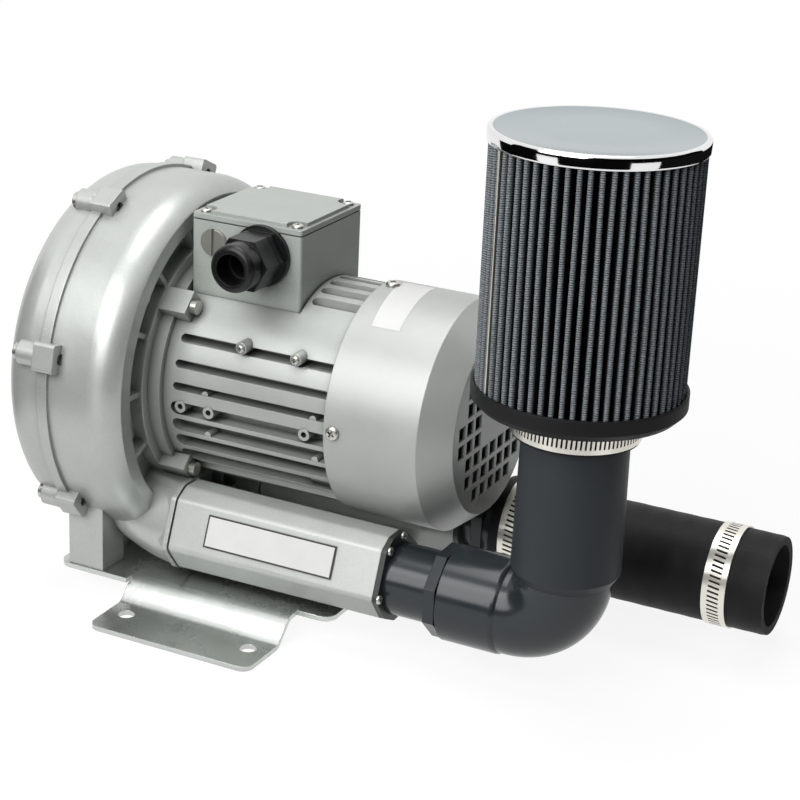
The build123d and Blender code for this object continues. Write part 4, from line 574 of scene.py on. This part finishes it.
def filter_pleats():
    """Folded filter cloth as one closed zigzag shell with slightly uneven folds."""
    rng = random.Random(4)
    top = CAP_Z1 - CAP_T - 0.1
    lean = [(rng.uniform(0, 6.28), rng.uniform(0.01, 0.05), rng.uniform(-0.04, 0.04)) for _ in range(PLEATS)]

    def row(t, inner):
        z = MEDIA_Z0 + (top - MEDIA_Z0) * t
        points = []
        for i, (phase, wave, shift) in enumerate(lean):
            sway = shift + wave * math.sin(phase + 5.0 * t)
            for u, r in PLEAT_SHAPE:
                follow = (r - MEDIA_IN_R) / (MEDIA_R - MEDIA_IN_R)
                a = 2 * math.pi * (i + u + sway * follow) / PLEATS
                r_here = r - PLEAT_CLOTH if inner else r
                points.append((r_here * math.cos(a), r_here * math.sin(a), z))
        return points

    steps = [k / (PLEAT_ROWS - 1) for k in range(PLEAT_ROWS)]
    loops = [row(t, False) for t in steps] + [row(t, True) for t in reversed(steps)]
    verts, faces = moved(loft(loops, ring=True), at(FILTER_X, FILTER_Y, 0))
    piece("filter_pleats", verts, faces, ["pleats"], "filter_media", "filter_media", sharp=60)


def pleat_strip():
    """Bright clip over the joint of the cloth."""
    a0 = math.radians(STRIP_ANGLE)
    half = STRIP_HALF
    outline = [(MEDIA_R - 2.0, -half), (MEDIA_R + 0.3, -half), (MEDIA_R + 0.6, -half * 0.5),
               (MEDIA_R + 0.6, half * 0.5), (MEDIA_R + 0.3, half), (MEDIA_R - 2.0, half)]
    loops = []
    for z in (53.2, 80, 120, 150, CAP_Z1 - CAP_T - 0.2):
        loops.append([(r * math.cos(a0) - t * math.sin(a0), r * math.sin(a0) + t * math.cos(a0), z)
                      for r, t in outline])
    verts, faces = moved(loft(loops), at(FILTER_X, FILTER_Y, 0))
    piece("pleat_joint_strip", verts, faces, ["stainless"], "stainless")


def filter_lid():
    """Pressed bright lid: flat satin top inside a rolled edge, and a turned down lip."""
    z1 = CAP_Z1
    z0 = CAP_Z1 - CAP_LIP
    r = CAP_R
    profile = [(4.0, z1 - 0.55), (30.0, z1 - 0.5), (r - 4.2, z1 - 0.45), (r - 3.2, z1 - 0.2), (r - 2.4, z1),
               (r - 1.5, z1 - 0.05), (r - 0.7, z1 - 0.45), (r - 0.2, z1 - 1.1), (r, z1 - 2.0), (r, z0 + 1.2),
               (r - 0.1, z0 + 0.5), (r - 0.4, z0 + 0.1), (r - 0.8, z0), (r - 1.1, z0 + 0.3), (r - 1.2, z0 + 1.0),
               (r - 1.2, z1 - 2.2), (r - 1.6, z1 - 1.5), (30.0, z1 - 1.3), (4.0, z1 - 1.3)]
    verts, faces = moved(lathe(profile, 128, ring=False), at(FILTER_X, FILTER_Y, 0))

    def look(c):
        flat = math.hypot(c.x - FILTER_X, c.y - FILTER_Y) < r - 3.6
        return 1 if flat and c.z > AXIS_Z + z1 - 1.0 else 0

    piece("filter_lid", verts, faces, ["chrome", "cap_top"], "chrome", "filter_cap", look_of=look)


# Clamps

def slotted_band(r, pitch, slot_half, slant, plain):
    """Band about Z as a grid with slots left out; plain is the span of degrees round the housing without slots."""
    count = 2 * round(2 * math.pi * r / pitch)
    half = BAND_W / 2
    heights = (-half, -slot_half, slot_half, half)
    lean = (0.0, -slant, slant, 0.0)
    verts = []
    for i in range(count):
        share = SLOT_SHARE if i % 2 else 0.0
        for h, s in zip(heights, lean):
            a = (2 * math.pi * (i - i % 2 + 2 * share) / count) + s / r
            for rr in (r, r + BAND_T):
                verts.append((rr * math.cos(a), rr * math.sin(a), h))

    def vert(i, j, k):
        return (i % count) * 8 + j * 2 + k

    def solid(i, j):
        if j in (0, 2):
            return True
        if j < 0 or j > 2:
            return False
        a = 360.0 * (i % count) / count
        near = min(a, 360 - a) < plain / 2
        return near or i % 2 == 1

    faces = []
    for i in range(count):
        for j in range(3):
            if not solid(i, j):
                continue
            for k in (0, 1):
                faces.append((vert(i, j, k), vert(i + 1, j, k), vert(i + 1, j + 1, k), vert(i, j + 1, k)))
            if not solid(i, j - 1):
                faces.append((vert(i, j, 0), vert(i + 1, j, 0), vert(i + 1, j, 1), vert(i, j, 1)))
            if not solid(i, j + 1):
                faces.append((vert(i, j + 1, 0), vert(i + 1, j + 1, 0), vert(i + 1, j + 1, 1), vert(i, j + 1, 1)))
            if not solid(i - 1, j):
                faces.append((vert(i, j, 0), vert(i, j + 1, 0), vert(i, j + 1, 1), vert(i, j, 1)))
            if not solid(i + 1, j):
                faces.append((vert(i + 1, j, 0), vert(i + 1, j + 1, 0), vert(i + 1, j + 1, 1), vert(i + 1, j, 1)))
    return verts, faces


SHOULDER = 5.0


def worm_housing(r):
    """Saddle over the worm at +X of the band, with its round tunnel along Y; SHOULDER squares its top."""
    axis = r + WORM_AXIS
    half_w = BAND_W / 2 - 0.3
    top = r + BAND_T + HOUSING_H
    angles = [2 * math.pi * (k + 0.5) / 40 for k in range(40)]
    outline = []
    for a in angles:
        c, s = math.cos(a), math.sin(a)
        reach = 1.0 / max(abs(c) / (top - axis), abs(s) / half_w)
        if c > 0:
            reach = (abs(c / (top - axis)) ** SHOULDER + abs(s / half_w) ** SHOULDER) ** (-1 / SHOULDER)
        outline.append((axis + reach * c, reach * s))
    hole = [(axis + WORM_HOLE_R * math.cos(a), WORM_HOLE_R * math.sin(a)) for a in angles]
    last = 8
    steps = [-HOUSING_LEN / 2 + HOUSING_LEN * k / last for k in range(last + 1)]
    loops = []
    for n, y in enumerate(steps):
        trim = 0.5 if n in (0, last) else 0.0
        floor = math.sqrt((r + BAND_T * 0.5) ** 2 - y * y)
        loops.append([(max(min(x, top - trim), floor), y, z) for x, z in outline])
    loops += [[(x, y, z) for x, z in hole] for y in reversed(steps)]
    return loft(loops, ring=True)


SLOT_SHARE = 0.42
FILTER_CLAMP_Z = 33.0
FILTER_CLAMP_TURN = 150
HOSE_CLAMPS = (("inner", 146.0, 62), ("outer", 274.0, 64))


def clamp(name, r, place, pitch, slot_half, slant, plain):
    band = slotted_band(r, pitch, slot_half, slant, plain)
    verts, faces = moved(joined([band, worm_housing(r)]), place)
    piece(name, verts, faces, ["stainless"], "stainless", name.replace("_slotted", ""), sharp=40)


def make_clamps():
    place = at(FILTER_X, FILTER_Y, FILTER_CLAMP_Z, (FILTER_CLAMP_TURN, "Z"))
    clamp("filter_clamp_band_slotted", RISER_BAND_R, place, pitch=2.5, slot_half=4.3, slant=0.25, plain=0)
    for name, x, turn in HOSE_CLAMPS:
        place = at(x, PORT_Y, PORT_Z, (90, "Y"), (turn, "Z"))
        clamp(name + "_hose_clamp_band_slotted", HOSE_R, place, pitch=3.0, slot_half=3.4, slant=0.5, plain=90)


# Hose

HOSE_RINGS = 58
HOSE_SEGMENTS = 96
FLAT_SPANS = ((138, 154), (264, 284))


def hose():
    """Wrapped rubber hose: faint wrap ridges, even under the clamps, rounded ends and a rough cut face."""
    rng = random.Random(7)
    outer = []
    for k in range(HOSE_RINGS + 1):
        x = HOSE_X0 + (HOSE_X1 - HOSE_X0) * k / HOSE_RINGS
        r = HOSE_R - 0.12 + 0.08 * math.sin(x * 0.42)
        if any(x0 < x < x1 for x0, x1 in FLAT_SPANS):
            r = HOSE_R - 0.08
        if k in (0, HOSE_RINGS):
            r -= 0.5
        outer.append((r, x))
    bore = [(HOSE_BORE_R + 0.15, HOSE_X1), (HOSE_BORE_R, HOSE_X1 - 0.6), (HOSE_BORE_R, BARB_X1 + 0.5),
            (BARB_R + 0.05, BARB_X1), (BARB_R + 0.05, HOSE_X0)]
    end = [((HOSE_R * 2 + HOSE_BORE_R) / 3, HOSE_X1 - 0.15), ((HOSE_R + HOSE_BORE_R * 2) / 3, HOSE_X1 - 0.25)]
    loops = []
    for r, x in outer + end + bore:
        loop = []
        for px, py, _ in circle(r, 0, HOSE_SEGMENTS):
            jitter = rng.uniform(-0.25, 0.0) if x > HOSE_X1 - 0.3 and r < HOSE_R - 1.5 else 0.0
            loop.append((px, py, x + jitter))
        loops.append(loop)
    verts, faces = moved(loft(loops, ring=True), at(0, PORT_Y, PORT_Z, (90, "Y")))

    def look(c):
        return 1 if c.x > HOSE_X1 - 0.5 and math.hypot(c.y - PORT_Y, c.z - AXIS_Z - PORT_Z) < HOSE_R - 0.7 else 0

    piece("outlet_hose_wrapped", verts, faces, ["hose", "hose_end"], "rubber", "outlet_hose", look_of=look)


# Screws

def pan_screw(head_r, head_h, shank_r, shank_len):
    """Pan head screw with a cross recess; its seat is at z = 0 and its head points to +Z."""
    arm = 0.15 * head_r
    reach = 0.52 * head_r
    deep = head_h * 0.35
    top = head_h

    def ring(r, heights):
        """28 points: four arms of four points, with three between them; heights are (arm, between)."""
        theta = math.degrees(math.asin(min(0.95, arm / r)))
        wall = math.degrees(0.035 * head_r / r)
        points = []
        for q in range(4):
            angles = [(-theta - wall, 1), (-theta + wall, 0), (theta - wall, 0), (theta + wall, 1)]
            low, high = theta + wall, 90 - theta - wall
            angles += [(low + (high - low) * k / 4, 1) for k in (1, 2, 3)]
            for a, between in angles:
                t = math.radians(90 * q + a)
                points.append((r * math.cos(t), r * math.sin(t), heights[between]))
        return points

    def plain(r, z):
        base = -math.degrees(math.asin(min(0.95, arm / r))) if r < head_r * 0.9 else -13.0
        return [(r * math.cos(math.radians(base + 360 * k / 28)), r * math.sin(math.radians(base + 360 * k / 28)), z)
                for k in range(28)]

    loops = [ring(arm * 1.3, (deep, deep)), ring(arm * 1.75, (deep, top)), ring(reach, (deep, top * 0.985)),
             ring(reach * 1.08, (top * 0.98, top * 0.98))]
    for share, height in ((0.72, 0.93), (0.84, 0.82), (0.93, 0.64), (0.98, 0.42), (1.0, 0.18), (1.0, 0.0)):
        loops.append(plain(head_r * share, head_h * height))
    loops.append(plain(shank_r, 0.0))
    loops.append(plain(shank_r, -shank_len))
    return loft(loops)


def screws(name, node, places, size):
    """One piece of equal screws, each with its own turn of the recess."""
    rng = random.Random(node)
    meshes = []
    for place in places:
        turn = Matrix.Rotation(rng.uniform(0, math.pi / 2), 4, "Z")
        meshes.append(moved(pan_screw(*size), place @ turn))
    verts, faces = joined(meshes)
    piece(name, verts, faces, ["zinc"], "zinc", node, sharp=35)


# Sizes are radius and height of the head, then radius and length of the shank
LID_SCREW = (3.5, 2.0, 2.0, 12.0)
COWL_SCREW = (4.2, 2.4, 2.0, 8.0)
PORT_SCREW = (2.7, 1.8, 1.5, 12.0)
BOSS_SCREW = (2.6, 1.7, 1.4, 4.0)
LID_SEAT_Z = 102.4
LID_SCREW_INSET = 6
PORT_SEAT_X = 111.4
PORT_SCREWS = ((25.8, 187.0), (25.9, 122.0), (25.6, 84.0), (25.2, -58.0), (25.0, 12.0))


def make_screws():
    lid = [at(x, y, LID_SEAT_Z) for x in (BOX_X0 + LID_SCREW_INSET, BOX_X1 - LID_SCREW_INSET)
           for y in (-BOX_HALF_Y + LID_SCREW_INSET, BOX_HALF_Y - LID_SCREW_INSET)]
    screws("lid_pan_screws", "lid_screws", lid, LID_SCREW)
    cowl = [at(0, 0, 0, (90 * k, "X")) @ Matrix.Translation((COWL_SCREW_X, 0, COWL_R)) for k in range(4)]
    screws("cowl_pan_screws", "cowl_screws", cowl, COWL_SCREW)
    ports = []
    for side in (-1, 1):
        for r, angle in PORT_SCREWS:
            a = math.radians(angle)
            y = side * PORT_Y - side * r * math.cos(a)
            ports.append(at(PORT_SEAT_X, y, PORT_Z + r * math.sin(a), (90, "Y")))
    screws("port_pan_screws", "port_screws", ports, PORT_SCREW)


BOSS_X = (9.5, 45.0)
BOSS_ROOT_Y = 50.0
BOSS_Z = 35.6
BOSS_PROFILE = ((3.9, 0.0), (3.8, 11.3), (3.5, 11.8), (2.9, 12.0))


def side_bosses():
    """Round bosses high on the motor's sides, each with a pan head screw."""
    bosses, heads = [], []
    for side in (-1, 1):
        for x in BOSS_X:
            root = at(x, side * BOSS_ROOT_Y, BOSS_Z, (-90 * side, "X"))
            bosses.append(moved(lathe(BOSS_PROFILE, 28, ring=False), root))
            heads.append(moved(pan_screw(*BOSS_SCREW), root @ Matrix.Translation((0, 0, BOSS_PROFILE[-1][1]))))
    piece("side_bosses", *joined(bosses), ["fins"], "silver_paint")
    piece("side_boss_screws", *joined(heads), ["zinc"], "zinc")


# Labels

def slab(corners, lift, thick):
    """Thin plate on four corners in order, lifted along their normal."""
    a, b, c, d = (Vector(p) for p in corners)
    normal = (b - a).cross(d - a).normalized()
    loops = [[tuple(p + normal * h) for p in (a, b, c, d)] for h in (lift, lift + thick)]
    return loft(loops)


LABEL_X = (-3.5, 81)
LABEL_SPAN = (0.21, 0.85)
FACE_WIDTH = 30


def silencer_label():
    """Bare label with a thin dark border on the slanted face of the inlet silencer."""
    (low_out, low_up), (high_out, high_up) = DUCT_OUTLINE[:2]

    def on_face(x, q):
        """Point at x and a share q of the way up the slanted face."""
        return (x, -PORT_Y + low_out + (high_out - low_out) * q, AXIS_Z + PORT_Z + low_up + (high_up - low_up) * q)

    def corners(inset):
        x0, x1 = LABEL_X[0] + inset, LABEL_X[1] - inset
        q0, q1 = LABEL_SPAN[0] + inset / FACE_WIDTH, LABEL_SPAN[1] - inset / FACE_WIDTH
        return [on_face(x0, q0), on_face(x1, q0), on_face(x1, q1), on_face(x0, q1)]

    verts, faces = slab(corners(0), 0.02, 0.12)
    piece("silencer_label_border", verts, faces, ["label_edge"], "silver_paint")
    verts, faces = slab(corners(1.0), 0.10, 0.12)
    piece("silencer_label_blank", verts, faces, ["label"], "silver_paint")


COWL_LABEL_START = -9
COWL_LABEL_SWEEP = 44
COWL_LABEL_ROWS = 12


def cowl_label():
    """Bare label that follows the round of the cowl, a little aslant."""
    low, high = COWL_R + 0.02, COWL_R + 0.14
    loops = []
    for k in range(COWL_LABEL_ROWS + 1):
        t = k / COWL_LABEL_ROWS
        a = math.radians(COWL_LABEL_START + COWL_LABEL_SWEEP * t)
        x0 = 75.5 + 5.0 * t
        x1 = 96.0 + 2.0 * t
        loops.append([(x, -r * math.sin(a), AXIS_Z + r * math.cos(a))
                      for x, r in ((x0, low), (x1, low), (x1, high), (x0, high))])
    verts, faces = loft(loops)
    piece("cowl_label_blank", verts, faces, ["label"], "cowl_paint")


foot()
neck_sweeps()
side_bosses()
filter_pleats()
pleat_strip()
filter_lid()
make_clamps()
hose()
make_screws()
silencer_label()
cowl_label()


# Floor, light and view: cards are given as radius and height, and start and end as degrees from the camera

WHITE_RAYS = ("Is Camera Ray", "Is Glossy Ray", "Is Transmission Ray")
CARDS = ((0.55, 0.30, -117, -65), (0.55, 0.30, -43, 27), (0.55, 0.30, 57, 150), (2.6, 2.0, -100, 120))
CARD_STEPS = 12
FLOOR_HALF = 6.0
FLOOR_NEAR = grey(0.16)
FLOOR_FAR = grey(0.05)
GLOW_NEAR = 0.88
GLOW_RISE = 0.12
ROOM_TONE = (0.06, 0.062, 0.064)
WHITE = (1.0, 1.0, 1.0)
# Name, place, the point that it faces, size and power of each lamp
LAMPS = (("key", (-0.20, -1.45, 1.00), (0.05, 0.0, 0.1), (1.5, 1.3), 29),
         ("top", (-0.05, 0.0, 1.75), (0.1, 0.0, 0.1), (1.2, 0.9), 14))


def white_ray_mask(tree):
    """1 for rays that show the background: straight to the camera, in metal or through glass."""
    path = tree.nodes.new("ShaderNodeLightPath")
    mask = path.outputs[WHITE_RAYS[0]]
    for name in WHITE_RAYS[1:]:
        mask = math_node(tree, "MAXIMUM", mask, path.outputs[name])
    return mask


def make_stage():
    """Floor that takes soft shadows and shows white beyond them."""
    mesh = bpy.data.meshes.new("floor")
    build = bmesh.new()
    bmesh.ops.create_grid(build, x_segments=1, y_segments=1, size=FLOOR_HALF)
    build.to_mesh(mesh)
    build.free()
    floor = bpy.data.objects.new("floor", mesh)
    bpy.context.scene.collection.objects.link(floor)
    m, tree, bsdf = new_material("pale_floor")
    mask = white_ray_mask(tree)
    length = tree.nodes.new("ShaderNodeVectorMath")
    length.operation = "LENGTH"
    tree.links.new(object_coords(tree), length.inputs[0])
    far = ramp(tree, math_node(tree, "MULTIPLY", length.outputs["Value"], 0.5), [(0.2, grey(0.0)), (0.6, grey(1.0))])
    tree.links.new(blend_colour(tree, far, FLOOR_NEAR, FLOOR_FAR), bsdf.inputs["Base Color"])
    glow = math_node(tree, "ADD", math_node(tree, "MULTIPLY", far, GLOW_RISE), GLOW_NEAR)
    tree.links.new(math_node(tree, "MULTIPLY", glow, mask), bsdf.inputs["Emission Strength"])
    bsdf.inputs["Emission Color"].default_value = (1, 1, 1, 1)
    bsdf.inputs["Roughness"].default_value = 0.9
    bsdf.inputs["Specular IOR Level"].default_value = 0.0
    mesh.materials.append(m)


def make_flags():
    """Dark studio cards beside the camera, seen only in polished metal and gloss."""
    m, tree, bsdf = new_material("black_card")
    bsdf.inputs["Base Color"].default_value = (0.01, 0.01, 0.01, 1)
    bsdf.inputs["Roughness"].default_value = 0.9
    bsdf.inputs["Specular IOR Level"].default_value = 0.0
    for k, (radius, height, start, end) in enumerate(CARDS):
        verts, faces = [], []
        for n in range(CARD_STEPS + 1):
            a = CAM_AZ + math.radians(start + (end - start) * n / CARD_STEPS)
            x = FILTER_X * MM + radius * math.sin(a)
            y = FILTER_Y * MM - radius * math.cos(a)
            verts += [(x, y, 0.0), (x, y, height)]
            if n:
                faces.append((2 * n - 2, 2 * n, 2 * n + 1, 2 * n - 1))
        mesh = bpy.data.meshes.new("flag_%d" % k)
        mesh.from_pydata(verts, [], faces)
        mesh.materials.append(m)
        card = bpy.data.objects.new("flag_%d" % k, mesh)
        bpy.context.scene.collection.objects.link(card)
        card.visible_camera = False
        card.visible_diffuse = False
        card.visible_transmission = False
        card.visible_shadow = False


def area_light(name, place, aim, size, power):
    data = bpy.data.lights.new(name, "AREA")
    data.shape = "RECTANGLE"
    data.size, data.size_y = size
    data.energy = power
    lamp = bpy.data.objects.new(name, data)
    bpy.context.scene.collection.objects.link(lamp)
    lamp.location = place
    lamp.rotation_mode = "QUATERNION"
    lamp.rotation_quaternion = (Vector(aim) - Vector(place)).to_track_quat("-Z", "Y")


def make_lights():
    for lamp in LAMPS:
        area_light(*lamp)
    world = bpy.data.worlds.new("world")
    bpy.context.scene.world = world
    world.use_nodes = True
    tree = world.node_tree
    tone = blend_colour(tree, white_ray_mask(tree), ROOM_TONE, WHITE)
    tree.links.new(tone, tree.nodes["Background"].inputs["Color"])


make_stage()
make_flags()
make_lights()
bpy.context.scene.view_settings.view_transform = "Standard"
